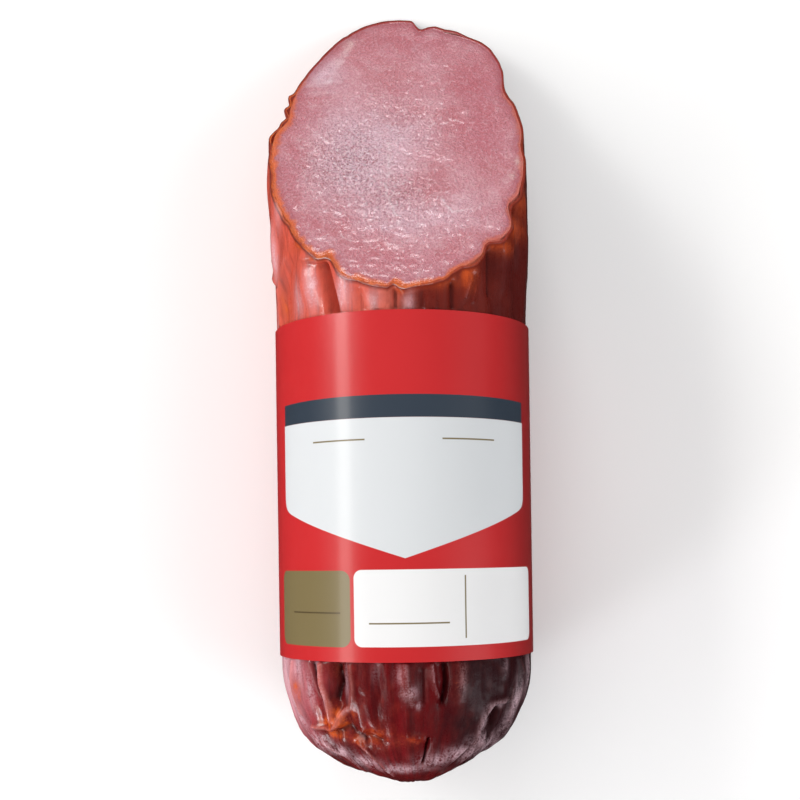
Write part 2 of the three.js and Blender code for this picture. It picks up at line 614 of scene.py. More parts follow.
DOME_CREASES = (
    Crease(((-47, 0), (-45, -4.5), (-43, -8)), -1.3, 0.86),
    Crease(((-40, 0), (-40, -5), (-37, -9), (-39, -13)), 1.02, 1.12),
    Crease(((-31, 0), (-30, -4.5), (-33, -8)), -1.3, 0.79),
    Crease(((-25, 0), (-24, -6), (-27, -10)), 0.52, 1.2),
    Crease(
        ((-55, -14.7), (-48, -14.8), (-42, -15.2), (-37, -14), (-33, -11.5), (-30, -10.3)),
        1.09,
        0.64,
        Edge.STEEP_LEFT,
    ),
    Crease(((-42, -16.4), (-31, -14.5), (-24, -17.2)), -1.01, 1.01),
    Crease(((-28, -15.6), (-24, -15.4), (-20, -14.3)), 0.43, 0.36),
    Crease(((-20, -5.8), (-18, -6.4), (-13, -6.3)), 0.43, 0.35),
    Crease(((-19, -16.6), (-15, -17.4)), -0.9, 1.2),
    Crease(((-13, 0), (-12, -7), (-14, -12)), -0.51, 1.15),
    Crease(((-1, 0), (0, -5), (2, -9)), 0.81, 1.2),
    Crease(((-3, -7), (1, -6.5), (4, -7.2)), 0.43, 0.48),
    Crease(((7, -2), (7, -9)), -0.72, 0.94),
    Crease(((11, 0), (12, -4.9), (14, -7.5)), 0.88, 0.64, Edge.STEEP_LEFT),
    Crease(((16, 0), (17, -4), (16, -9)), -1.3, 0.72),
    Crease(((22, 0), (24, -5), (23, -9)), 0.52, 1.28),
    Crease(((52, -9.6), (42, -10), (38, -12.5), (36, -14.2), (38, -19)), 1.02, 0.72, Edge.STEEP_LEFT),
    Crease(((45, -12), (46, -15.5), (50, -18.5)), -1.74, 1.08),
    Crease(((57, -7.2), (58, -11), (60, -14.5)), 0.88, 0.64, Edge.STEEP_RIGHT),
    Crease(((47, 0), (48, -4)), 0.52, 0.56),
    Crease(((60, 0), (63, -4)), 0.59, 0.64),
    Crease(((0, -16.2), (7, -16.8), (9, -17.6)), 0.52, 0.4),
    Crease(((10, -17.2), (9, -20), (8, -23.0)), -1.35, 0.36),
    Crease(((12, -17.6), (13, -20), (13, -23)), 0.59, 0.64),
    Crease(((-28, -18), (-24, -19.5), (-20, -22), (-16, -25.5)), 0.88, 0.56, Edge.STEEP_LEFT),
    Crease(((-23, -22), (-21, -25.5)), -0.72, 0.58),
    Crease(((-62, -17.7), (-53, -22), (-49, -25.3)), -0.72, 0.58),
    Crease(((-55, -18.5), (-48, -22), (-42, -25)), 0.59, 0.64),
    Crease(((38, -19), (33, -23), (24, -26)), -1.01, 0.43),
    Crease(((51, -19), (42, -22), (34, -25.5)), -1.01, 0.43),
    Crease(((46, -18.5), (39, -21.5), (29, -25.8)), 0.59, 0.64),
    Crease(((-70, -6), (-71, -12.5), (-71, -18)), -0.72, 1.01),
    Crease(((-60, 0), (-62, -6), (-61, -12)), 0.66, 1.44),
    Crease(((96, 0), (98, -9), (94, -18), (80, -24)), -1.3, 0.94),
    Crease(((-95, 0), (-93, -8), (-90, -17), (-78, -24)), -1.16, 0.94),
    Crease(((-118, 0), (-117, -10), (-112, -20)), 0.73, 1.2),
    Crease(((124, 0), (122, -9), (118, -19)), 0.88, 1.12),
    Crease(((152, -2), (148, -12), (140, -22)), -1.16, 0.86),
    Crease(((-146, -1), (-144, -12), (-136, -21)), -1.16, 0.94),
    Crease(((176, -6), (172, -16), (165, -23)), 0.73, 0.96),
)

CUT_END_CREASES = (
    Crease(((-35, 89.5), (-34, 86), (-32, 81.5), (-29, 76)), -1.5, 1.25, Edge.STEEP_LEFT),
    Crease(((-31, 86.5), (-28, 80), (-25, 75.5)), 0.5, 0.9, Edge.STEEP_LEFT),
    Crease(((-46, 89), (-40, 88.2), (-35, 87.6)), 0.4, 0.63),
    Crease(((-45, 87.4), (-40, 86.8), (-37, 86.4)), -0.35, 0.64),
    Crease(((-44, 91.5), (-50, 90), (-57, 86.5), (-62, 82), (-64, 76)), -0.7, 1.7),
    Crease(((-58, 90), (-67, 84), (-70, 76)), 0.6, 1.6),
    Crease(((-70, 85), (-77, 84), (-80, 79)), -0.9, 1.04),
    Crease(((-85, 94), (-76, 88.5), (-70, 85)), 0.6, 1.08, Edge.STEEP_LEFT),
    Crease(((-57, 97), (-52, 96.6)), -0.4, 0.35),
    Crease(((-66, 113), (-63, 108.5), (-68, 106)), -0.4, 0.4),
    Crease(((-18, 80), (-15, 76)), -0.5, 0.96),
    Crease(((-10, 78.5), (-9, 76)), 0.35, 0.81),
    Crease(((-4, 82.5), (-3, 79), (-3, 75.5)), -0.8, 0.64, Edge.STEEP_RIGHT),
    Crease(((3, 78.8), (4, 77), (4, 75.5)), 0.5, 0.9),
    Crease(((9, 79), (9, 75.5)), -0.5, 0.72),
    Crease(((14, 78), (14, 76)), 0.3, 1.08),
    Crease(((24, 86), (22, 82), (22, 76)), -0.9, 0.88),
    Crease(((30, 84.5), (31, 82.5), (29, 79)), 0.55, 0.8, Edge.STEEP_LEFT),
    Crease(((35, 85.5), (34, 82), (32, 78)), 0.4, 0.41),
    Crease(((41, 90), (42, 87.5), (42, 80)), -0.9, 0.8),
    Crease(((47, 93), (50, 89), (50, 82)), 0.4, 1.44),
    Crease(((60, 97), (61, 90), (60, 78)), -0.5, 1.2),
    Crease(((70, 104), (72, 92), (71, 78)), 0.4, 1.26),
    Crease(((84, 122), (85, 100), (84, 78)), -0.5, 0.96),
    Crease(((97, 128), (98, 105), (96, 80)), 0.4, 1.17),
    Crease(((118, 140), (116, 115), (119, 80)), -0.5, 0.96),
    Crease(((146, 155), (143, 120), (147, 82)), 0.5, 1.26),
    Crease(((-100, 125), (-101, 100), (-99, 80)), -0.5, 1.04),
    Crease(((-112, 140), (-111, 108), (-113, 80)), 0.4, 1.17),
    Crease(((-140, 150), (-142, 115), (-139, 82)), -0.6, 0.96),
)

STAINS = (
    Stain(-35, -12.6, 3.0, 3.4, 1.0),
    Stain(-25, -11.5, 1.6, 2.4, 0.6),
    Stain(-45, -13.8, 3.4, 2.2, 1.0),
    Stain(-42, -16.2, 3.4, 2.2, 1.0),
    Stain(-28, -17.5, 2.2, 1.8, 0.8),
    Stain(-17, -16.3, 3.2, 2.8, 1.0),
    Stain(-5, -17.4, 3.4, 1.8, 0.5),
    Stain(23, -4.0, 1.4, 4.0, 0.3),
    Stain(2, -17.0, 1.8, 1.2, 0.9),
    Stain(-58, -7.2, 1.4, 3.0, 1.0),
    Stain(-48, -11.0, 1.8, 3.0, 0.5),
    Stain(-32, -1.5, 3.0, 2.0, 0.45),
    Stain(30, 83.5, 1.8, 2.6, 1.0),
    Stain(0, 80.6, 1.6, 1.6, 1.0),
    Stain(14, 82.0, 6.0, 1.6, 0.6),
    Stain(46, 91.5, 4.0, 2.0, 0.7),
    Stain(58, 96.5, 4.5, 2.6, 0.8),
    Stain(66, 104, 3.0, 5.0, 0.5),
    Stain(-47, 91.5, 3.0, 1.6, 0.6),
    Stain(-65, 80, 0.9, 4.0, 0.7),
    Stain(-38, 88.2, 3.0, 0.9, 0.7),
)


@dataclass(frozen=True)
class Fullness:
    """A broad part of the skin that stands fuller, or hollower, than the tight form."""

    angle: float
    half_width: float
    length: float
    half_length: float
    height: float


FULLNESS = (
    Fullness(-98, 55, -19, 9, 1.5),
    Fullness(88, 70, -27.5, 9, -2.6),
    Fullness(-80, 60, -29, 5, -1.6),
    Fullness(70, 40, -4, 6, 0.4),
    Fullness(54, 11, 94, 9, 1.1),
    Fullness(-45, 9, 83, 9, 0.8),
    Fullness(-24, 6, 80, 7, 0.5),
    Fullness(-72, 10, 92, 12, 0.5),
    Fullness(-101, 16, 130, 14, -1.3),
    Fullness(-150, 30, 152, 16, -0.8),
    Fullness(-88, 20, 95, 18, -1.3),
    Fullness(166, 7, 160, 18, -1.0),
)

# Pale lilac patches of painted sheen: highlights painted into the skin's colour.
PAINTED_SHEEN_PATCHES = (
    Stain(-74, -4, 3.0, 8.0, 1.0),
    Stain(-68, -12, 3.0, 6.0, 1.0),
    Stain(-56, -2, 1.6, 5.0, 0.6),
    Stain(-50, -8, 1.2, 5.0, 0.6),
    Stain(-42, -3.0, 1.0, 4.0, 1.0),
    Stain(-39, -9, 0.8, 2.4, 0.6),
    Stain(-60, -18.5, 4.0, 2.6, 1.0),
    Stain(-48, -20.5, 4.0, 2.0, 0.9),
    Stain(-33, -22.5, 4.0, 2.0, 0.9),
    Stain(-27, -4, 0.7, 4.0, 0.5),
    Stain(-13, -2, 0.9, 2.4, 0.25),
    Stain(-3, -3, 1.2, 2.0, 0.30),
    Stain(1, -6.5, 1.5, 1.2, 0.9),
    Stain(5, -9.5, 0.8, 0.8, 0.5),
    Stain(-10, -24.0, 6.0, 1.8, 0.8),
    Stain(15, -22, 3.4, 2.2, 0.8),
    Stain(32, -21, 5.0, 2.2, 0.8),
    Stain(44, -18, 4.0, 2.0, 0.6),
    Stain(38, -14, 1.0, 2.6, 0.8),
    Stain(44, -10.6, 2.6, 0.8, 0.7),
    Stain(62, -12, 1.8, 6.0, 0.7),
    Stain(72, -4, 2.4, 5.0, 0.6),
    Stain(55, -20, 3.6, 2.6, 0.7),
    Stain(24, -4, 0.8, 3.4, 0.3),
    Stain(48, -2, 1.0, 2.2, 0.3),
    Stain(-25, 80, 2.0, 4.0, 0.8),
    Stain(-41, 82, 1.8, 5.0, 0.8),
    Stain(-50, 80, 1.8, 4.0, 0.5),
    Stain(-68, 92, 2.0, 6.0, 0.8),
    Stain(-62, 102, 1.6, 5.0, 0.5),
    Stain(-12, 78, 1.6, 2.2, 0.5),
    Stain(3, 77, 1.1, 2.4, 0.6),
    Stain(-80, 78, 2.0, 4.0, 0.5),
)


@dataclass(frozen=True)
class Lip:
    """A place where the casing's cut edge has lifted off the meat."""

    angle: float
    half_width: float
    lift: float
    reach: float


LIPS = (
    Lip(-35, 4, 0.5, 3.0),
    Lip(-1, 4, 0.5, 2.4),
    Lip(33, 6, 0.5, 3.0),
    Lip(47, 5, 0.6, 3.0),
    Lip(-57, 4, 0.35, 3.0),
    Lip(64, 7, 0.6, 5.0),
    Lip(-91, 4, 0.7, 6.0),
    Lip(-98, 2.6, 0.7, 3.0),
    Lip(-104, 2.4, 0.9, 3.0),
    Lip(-110, 2.6, 0.9, 3.0),
    Lip(150, 8, 0.5, 6.0),
)


@dataclass(frozen=True)
class SkinRelief:
    """Creases, wrinkles and lifted edges that lie over the outer form."""

    creases: tuple[Crease, ...] = DOME_CREASES + CUT_END_CREASES
    stains: tuple[Stain, ...] = STAINS
    painted_sheen_patches: tuple[Stain, ...] = PAINTED_SHEEN_PATCHES
    fullness: tuple[Fullness, ...] = FULLNESS
    lips: tuple[Lip, ...] = LIPS
    steep_share: float = 0.45
    slow_share: float = 1.5
    crease_power: float = 1.5
    gathers: int = 23
    gather_depth: float = 0.7
    gather_power: float = 1.6
    gather_full: float = 2.5
    gather_reach: float = 13.0
    streak_height: float = 0.10
    rib_height: float = 0.30
    blotch_height: float = 0.20
    crumple_height: float = 0.05
    band_fade: float = 0.8
    band_edge: float = 0.2

    def unrolled(self, length: Array | float) -> Array:
        """Places along the skin's surface: the length on the barrel, and arc length on the dome."""
        past = np.clip((FORM.dome_start - np.asarray(length, float)) / FORM.dome_depth, 0.0, 1.0)
        arc = 0.5 * (FORM.radius + FORM.dome_depth) * np.arcsin(past)
        return np.where(np.asarray(length) < FORM.dome_start, FORM.dome_start - arc, length)

    def offsets(self, crease: Crease, angle: Array, along: Array, girth: Array) -> tuple[Array, Array]:
        """How far each point lies from a crease.

        Args:
            crease: The crease.
            angle: The points' angles.
            along: Their unrolled places.
            girth: Millimetres to a degree at each point.

        Returns:
            The distance, and the side as 1 on the path's left or -1 on its right.
        """
        nearest = np.full_like(angle, np.inf)
        side = np.ones_like(angle)
        ends = zip(crease.path, crease.path[1:])
        for (start_angle, start_length), (end_angle, end_length) in ends:
            start, end = self.unrolled(start_length), self.unrolled(end_length)
            across = turn_between(start_angle, angle) * girth
            up = along - start
            run_across, run_up = (end_angle - start_angle) * girth, end - start
            share = np.clip((across * run_across + up * run_up) / (run_across**2 + run_up**2), 0.0, 1.0)
            away = np.hypot(across - share * run_across, up - share * run_up)
            turned = np.where(run_across * up - run_up * across > 0.0, 1.0, -1.0)
            side = np.where(away < nearest, turned, side)
            nearest = np.minimum(nearest, away)
        return nearest, side

    def creased(self, angle: Array, along: Array, girth: Array) -> Array:
        """Height of all the creases together.

        Args:
            angle: The points' angles.
            along: Their unrolled places.
            girth: Millimetres to a degree at each point.

        Returns:
            The heights, raised above 0 and pressed in below it.
        """
        height = np.zeros_like(angle)
        for crease in self.creases:
            away, side = self.offsets(crease, angle, along, girth)
            width = np.full_like(angle, crease.width)
            steep, slow = self.steep_share * crease.width, self.slow_share * crease.width
            if crease.edge is Edge.STEEP_LEFT:
                width = np.where(side > 0, steep, slow)
            if crease.edge is Edge.STEEP_RIGHT:
                width = np.where(side < 0, steep, slow)
            height += crease.height * np.exp(-((away / width) ** self.crease_power))
        return height

    def gathered(self, angle: Array, along: Array) -> Array:
        """Fine radial folds that run into the tip.

        Args:
            angle: The points' angles.
            along: Their unrolled places.

        Returns:
            The heights, all 0 or below.
        """
        tip = float(self.unrolled(FORM.dome_start - FORM.dome_depth))
        from_tip = along - tip
        wander = 6.0 * np.sin(np.radians(3.0 * angle)) + 9.0 * np.sin(np.radians(angle) + 1.0)
        wave = np.abs(np.sin(np.radians((angle + wander) * self.gathers / 2.0)))
        depth = self.gather_depth * (1.0 - wave) ** self.gather_power
        full = self.gather_full
        faded = 1.0 - smoothstep(from_tip, full, self.gather_reach)
        return -depth * smoothstep(from_tip, 0.0, full) * faded

    def lifted(self, angle: Array, below_cut: Array) -> Array:
        """How far the cut edge stands off the meat.

        Args:
            angle: The points' angles.
            below_cut: How far each point lies from the cut, along the skin.

        Returns:
            The heights.
        """
        height = np.zeros_like(angle)
        for lip in self.lips:
            near = 1.0 - smoothstep(below_cut, 0.0, lip.reach)
            height += lip.lift * near * bump(turn_between(lip.angle, angle), lip.half_width)
        return height

    def wrinkled(self, points: Array) -> Array:
        """Streaks, blotches and crumples from seeded noise.

        Args:
            points: The skin's points in the layout.

        Returns:
            The heights.
        """
        streaks = noise_over(points, (1.6, 22.0, 1.6), 3.1)
        ribs = noise_over(points, (2.6, 16.0, 2.6), 51.0) * smoothstep(-points[:, 1], 0.0, 4.0)
        blotches = noise_over(points, (5.0, 7.0, 5.0), 17.7)
        crumples = noise_over(points, 1.3, 41.3)
        total = self.streak_height * streaks + self.blotch_height * blotches + self.rib_height * ribs
        return total + self.crumple_height * crumples

    def filled(self, angle: Array, length: Array) -> Array:
        """How much fuller the skin stands in its broad swellings.

        Args:
            angle: The points' angles.
            length: Their places along the axis.

        Returns:
            The heights.
        """
        height = np.zeros_like(angle)
        for part in self.fullness:
            round_it = bump(turn_between(part.angle, angle), part.half_width)
            height += part.height * round_it * bump(length - part.length, part.half_length)
        return height

    def stained(self, stains: tuple[Stain, ...], angle: Array, along: Array, girth: Array) -> Array:
        """Strength of a set of patches.

        Args:
            stains: The patches.
            angle: The points' angles.
            along: Their unrolled places.
            girth: Millimetres to a degree at each point.

        Returns:
            The strengths from 0 to 1.
        """
        total = np.zeros_like(angle)
        for stain in stains:
            across = turn_between(stain.angle, angle) * girth / stain.across
            up = (along - self.unrolled(stain.length)) / stain.along
            total = np.maximum(total, stain.strength * np.exp(-(across**2) - up**2))
        return total


# ---------------------------------------------------------------------------------------------- meshes


def wrapped(rows: int, columns: int, crowding: float) -> tuple[bmesh.types.BMesh, Array, Array]:
    """Makes a grid that is to be wrapped round the axis as a shell.

    Args:
        rows: Rows of vertices, from one pole to the other.
        columns: Faces round the axis.
        crowding: How much closer the columns lie at the top than round the rest, from 0 to 1.

    Returns:
        The grid, and each vertex's row and angle.
    """
    mesh = bmesh.new()
    bmesh.ops.create_grid(mesh, x_segments=columns, y_segments=rows - 1, size=0.5)
    spots = np.array([vertex.co[:] for vertex in mesh.verts])
    turn = math.tau * spots[:, 0]
    row = np.rint((spots[:, 1] + 0.5) * (rows - 1)).astype(int)
    return mesh, row, np.degrees(turn - crowding * np.sin(turn))


def settle(mesh: bmesh.types.BMesh, name: str, points: Array, marks: dict[str, Array]) -> bpy.types.Object:
    """Places the vertices, closes the seam and the poles, turns the faces outwards and makes the object.

    Args:
        mesh: The surface.
        name: The piece's name.
        points: Each vertex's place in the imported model, in metres.
        marks: Numbers to store for each vertex, by name.

    Returns:
        The object, linked to the scene.
    """
    for mark, values in marks.items():
        layer = mesh.verts.layers.float.new(mark)
        for vertex, value in zip(mesh.verts, values.tolist()):
            vertex[layer] = value
    for vertex, point in zip(mesh.verts, points.tolist()):
        vertex.co = point
    seam = [vertex for vertex in mesh.verts if vertex.is_boundary]
    bmesh.ops.remove_doubles(mesh, verts=seam, dist=WELD)
    bmesh.ops.recalc_face_normals(mesh, faces=mesh.faces[:])
    for face in mesh.faces:
        face.smooth = True
    for edge in mesh.edges:
        edge.smooth = edge.calc_face_angle(0.0) < SHARP
    open_edges = sum(not edge.is_manifold for edge in mesh.edges)
    data = bpy.data.meshes.new(name)
    mesh.to_mesh(data)
    mesh.free()
    piece = bpy.data.objects.new(name, data)
    bpy.context.scene.collection.objects.link(piece)
    triangles = sum(len(polygon.vertices) - 2 for polygon in data.polygons)
    LOG.info("%s: %d triangles, %d open edges", name, triangles, open_edges)
    return piece


@dataclass(frozen=True)
class Rows:
    """A shell's rows from one pole to the other: where each lies and how far below the outside."""

    turn: Array
    length: Array
    share: Array
    inset: Array

    @classmethod
    def joined(cls, parts: list["Rows"]) -> "Rows":
        """Stacks several runs of rows."""
        names = cls.__dataclass_fields__
        return cls(**{name: np.concatenate([getattr(part, name) for part in parts]) for name in names})

    @classmethod
    def dome(cls, turns: Array, inset: float) -> "Rows":
        """Rows over the dome, at turns of 0 at its tip to 90 at its shoulder."""
        still = np.zeros_like(turns)
        return cls(turns, still, still, still + inset)

    @classmethod
    def barrel(cls, lengths: Array, inset: float) -> "Rows":
        """Rows along the barrel, at places in millimetres."""
        still = np.zeros_like(lengths)
        return cls(still + 90.0, lengths, still, still + inset)

    @classmethod
    def cut_end(cls, shares: Array, inset: float) -> "Rows":
        """Rows beyond the band, at shares of the way to the cut."""
        still = np.zeros_like(shares)
        return cls(still + 90.0, still + FORM.band_length, shares, still + inset)

    @classmethod
    def hidden(cls, dome_inset: float, inset: float) -> "Rows":
        """The sparse rows of a side that is out of sight, from the tip to the cut edge.

        Args:
            dome_inset: How far below the outside they lie under the dome.
            inset: How far below it they lie elsewhere.

        Returns:
            The rows.
        """
        return cls.joined(
            [
                cls.dome(np.array([0.0, 20.0, 42.0, 64.0, 80.0]), dome_inset),
                cls.barrel(np.array([FORM.dome_start, 5.0]), dome_inset),
                cls.barrel(np.array([15.0, 40.0, 70.0]), inset),
                cls.cut_end(np.array([0.1, 0.3, 0.55, 0.75, 0.88, 0.95, 0.98, 1.0]), inset),
            ]
        )

    def reversed(self) -> "Rows":
        """The same rows, the other way round."""
        return Rows(self.turn[::-1], self.length[::-1], self.share[::-1], self.inset[::-1])


@dataclass
class SkinShape:
    """Works out where the rows of a shell that follows the skin lie."""

    relief: SkinRelief
    low: Vector
    high: Vector
    closeness_power: float = 2.0
    tip_fade: float = 0.22
    crease_fade: float = 0.06
    tip_calm: float = 0.6
    tip_calm_power: int = 4
    rim_share: float = 0.2
    rim_start: float = 0.3
    rim_end: float = 2.6
    gather_weight: float = 1.6
    deepest: float = 1.5
    least_girth: float = 1.0
    margin: float = 0.02
    give: float = 0.5

    def points(self, rows: Rows, row: Array, angle: Array, lifting: float) -> tuple[Array, dict[str, Array]]:
        """Places every vertex of a shell.

        Args:
            rows: The shell's rows.
            row: Each vertex's row.
            angle: Each vertex's angle.
            lifting: The share of the lifted lips that this shell takes.

        Returns:
            The points in the layout, and the marks that the finish reads.
        """
        inset, share, turn = rows.inset[row], rows.share[row], np.radians(rows.turn[row])
        bulk = np.sin(turn)
        on_dome = rows.turn[row] < 90.0
        dome_length = FORM.dome_start - (FORM.dome_depth - inset) * np.cos(turn)
        end = FORM.end_of(angle, 0.0)
        barrel_length = rows.length[row] + share * (end - rows.length[row])
        length = np.where(on_dome, dome_length, barrel_length)

        radians = np.radians(angle)
        radial = FORM.skin_radius(angle, length, bulk) - inset * bulk
        closeness = np.where(on_dome, 1.0 - bulk**self.closeness_power, 0.0)
        plain = np.stack([radial * np.sin(radians), length, radial * np.cos(radians)], axis=1)

        girth = np.maximum(FORM.radius * bulk, self.least_girth) * math.pi / 180.0
        along = self.relief.unrolled(length)
        below_cut = np.where(share > 0.0, (1.0 - share) * (end - FORM.band_length), FAR)
        creases = self.relief.creased(angle, along, girth)
        calm = self.bare(length) * (1.0 - self.tip_calm * closeness**self.tip_calm_power)
        off_rim = smoothstep(below_cut, self.rim_start, self.rim_end)
        creases = creases * (self.rim_share + (1.0 - self.rim_share) * off_rim)
        off_tip = smoothstep(bulk, 0.0, self.crease_fade)
        creases = creases * off_tip
        gathers = self.relief.gathered(angle, along) * off_tip
        wrinkles = self.relief.wrinkled(plain)
        lifted = lifting * self.relief.lifted(angle, below_cut)
        full = self.relief.filled(angle, length) * smoothstep(bulk, 0.0, self.tip_fade)
        raised = full + calm * (creases + gathers + wrinkles) + lifted

        slope = np.stack([np.sin(turn) / FORM.radius, np.cos(turn) / FORM.dome_depth])
        slope = slope / np.hypot(*slope)
        radial = np.maximum(radial + raised * slope[0], 0.0)
        length = length - np.where(on_dome, raised * slope[1], 0.0)
        x = radial * np.sin(radians) + FORM.bend(length) + FORM.tip_shift * closeness
        height = radial * np.cos(radians) + FORM.tip_rise * closeness
        height = np.maximum(height, inset - FORM.skin_belly)
        x = held(x, self.low.x + inset, self.high.x - inset)
        height = np.minimum(height, self.high.z - inset - self.margin)
        outside = FORM.height_at(angle, barrel_length, 0.0)
        length = length + share * (FORM.cut_at(height) - FORM.cut_at(outside))
        length = held(length, self.low.y + inset + self.margin, self.high.y + self.give)
        # The valley mark feeds painted shade in the creases, the proud mark painted highlights on raised
        # creases, and the pale patches' mark painted sheen.
        marks = {
            "valley": np.clip(-(creases + self.gather_weight * gathers) * calm, 0.0, self.deepest),
            "proud": np.clip(creases * calm, 0.0, 1.0),
            "amber": self.relief.stained(self.relief.stains, angle, along, girth),
            "painted_sheen": self.relief.stained(self.relief.painted_sheen_patches, angle, along, girth),
            "below_cut": np.clip(below_cut, 0.0, FAR),
            "inside": inset,
        }
        return np.stack([x, length, height], axis=1), marks

    def bare(self, length: Array) -> Array:
        """1 where the skin is bare, and 0 where the band holds it smooth."""
        fade, edge = self.relief.band_fade, self.relief.band_edge
        past_start = smoothstep(length, -fade, edge)
        past_end = smoothstep(length, FORM.band_length - edge, FORM.band_length + fade)
        return 1.0 - past_start * (1.0 - past_end)


@dataclass
class Casing:
    """The smoked casing: a thin cup of skin, closed at the dome and cut open at a slant."""

    layout: Layout
    shape: SkinShape
    finish: "SmokedSkin"
    thickness: float = 0.6
    dome_thickness: float = 2.6
    columns: int = 384
    crowding: float = 0.35
    dome_rows: int = 80
    dome_crowding: float = 0.9
    cut_rows: int = 100
    cut_crowding: float = 1.25

    def rows(self) -> Rows:
        """The rows from the outer tip to the cut edge and back inside to the inner tip."""
        dome = 90.0 * np.linspace(0.0, 1.0, self.dome_rows, endpoint=False) ** self.dome_crowding
        banded = np.array([FORM.dome_start, -1.7, -1.1, -0.6, -0.2, 0.2, 1, 4, 14, 38, 62, 72, 74.5, 75.2])
        beyond = 1.0 - (1.0 - np.linspace(0.0, 1.0, self.cut_rows + 1)[1:]) ** self.cut_crowding
        return Rows.joined(
            [
                Rows.dome(dome, 0.0),
                Rows.barrel(banded, 0.0),
                Rows.cut_end(beyond, 0.0),
                Rows.cut_end(np.array([1.0]), 0.5 * self.thickness),
                Rows.hidden(self.dome_thickness, self.thickness).reversed(),
            ]
        )

    def build(self) -> bpy.types.Object:
        """Makes the casing and dresses it."""
        rows = self.rows()
        mesh, row, angle = wrapped(len(rows.turn), self.columns, self.crowding)
        points, marks = self.shape.points(rows, row, angle, 1.0)
        piece = settle(mesh, "smoked_casing", self.layout.placed(points), marks)
        piece.data.materials.append(self.finish.material(self.layout))
        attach(piece, BODY)
        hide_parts("casing")
        return piece


@dataclass
class Meat:
    """The pressed ham inside the casing, with its slanted cut face."""

    layout: Layout
    shape: SkinShape
    finish: "CuredHam"
    inset: float = 0.62
    dome_inset: float = 2.7
    columns: int = 400
    crowding: float = 0.1
    rings: int = 150
    swell_height: float = 0.35
    grain_height: float = 0.14
    pit_depth: float = 0.42
    pit_width: float = 0.32
    still_rim: float = 0.05
    edge_round: float = 0.1
    edge_start: float = 0.975
    pit_spots: tuple[tuple[float, float, float, float, float], ...] = (
        (-12.0, -8.0, 10.0, 14.0, 1.0),
        (-3.0, -20.0, 10.0, 9.0, 0.8),
        (0.0, 6.0, 12.0, 12.0, 0.35),
    )

    def face_relief(self, across: Array, up: Array, share: Array) -> tuple[Array, Array]:
        """Height of the cut face over its plane.

        Args:
            across: Places across the face.
            up: Places along its slope, growing downhill.
            share: 1 at the rim and 0 at the middle.

        Returns:
            The heights, and how pitted each place is.
        """
        flat = np.stack([across, up, np.zeros_like(up)], axis=1)
        swells = noise_over(flat, 13.0, 5.5)
        fibres = noise_over(flat, (3.4, 2.2, 1.0), 9.3)
        grain = noise_over(flat, (1.1, 0.8, 1.0), 23.9)
        pitted = np.zeros_like(across)
        for spot_across, spot_up, wide, tall, strength in self.pit_spots:
            near = strength * np.exp(-(((across - spot_across) / wide) ** 2) - ((up - spot_up) / tall) ** 2)
            pitted = np.maximum(pitted, near)
        pits = np.abs(noise_over(flat, (1.5, 0.95, 1.0), 61.0))
        pits = (1.0 - smoothstep(pits, 0.0, self.pit_width)) * pitted
        height = self.swell_height * swells + self.grain_height * (fibres + grain)
        height = (height - self.pit_depth * pits) * smoothstep(1.0 - share, 0.0, self.still_rim)
        return height - self.edge_round * smoothstep(share, self.edge_start, 1.0), pitted

    def build(self) -> bpy.types.Object:
        """Makes the meat and dresses it."""
        side = Rows.hidden(self.dome_inset, self.inset)
        last = len(side.turn) - 1
        rings = 1.0 - np.arange(1, self.rings + 1) / self.rings
        mesh, row, angle = wrapped(last + 1 + self.rings, self.columns, self.crowding)
        points, _ = self.shape.points(side, np.minimum(row, last), angle, 0.0)

        on_face = row >= last
        share = np.where(on_face, np.concatenate([np.ones(last + 1), rings])[row], 1.0)
        middle = np.array([0.0, FORM.cut_middle, 0.0])
        spread = middle + share[:, None] * (points - middle)
        spread[row == last + self.rings] = middle
        slant = math.hypot(1.0, FORM.cut_slope)
        rise, pitted = self.face_relief(spread[:, 0], -spread[:, 2] * slant, share)
        outwards = np.array([0.0, 1.0, FORM.cut_slope]) / slant
        face = spread + rise[:, None] * outwards
        points = np.where((row > last)[:, None], face, points)
        least = 0.05
        from_rim = (1.0 - share) * np.hypot(points[:, 0], points[:, 2] * slant) / np.maximum(share, least)
        marks = {
            "from_rim": np.where(on_face, from_rim, 0.0),
            "pitted": np.where(on_face, pitted, 0.0),
        }
        piece = settle(mesh, "ham_meat", self.layout.placed(points), marks)
        piece.data.materials.append(self.finish.material(self.layout))
        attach(piece, BODY)
        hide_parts("meat")
        return piece


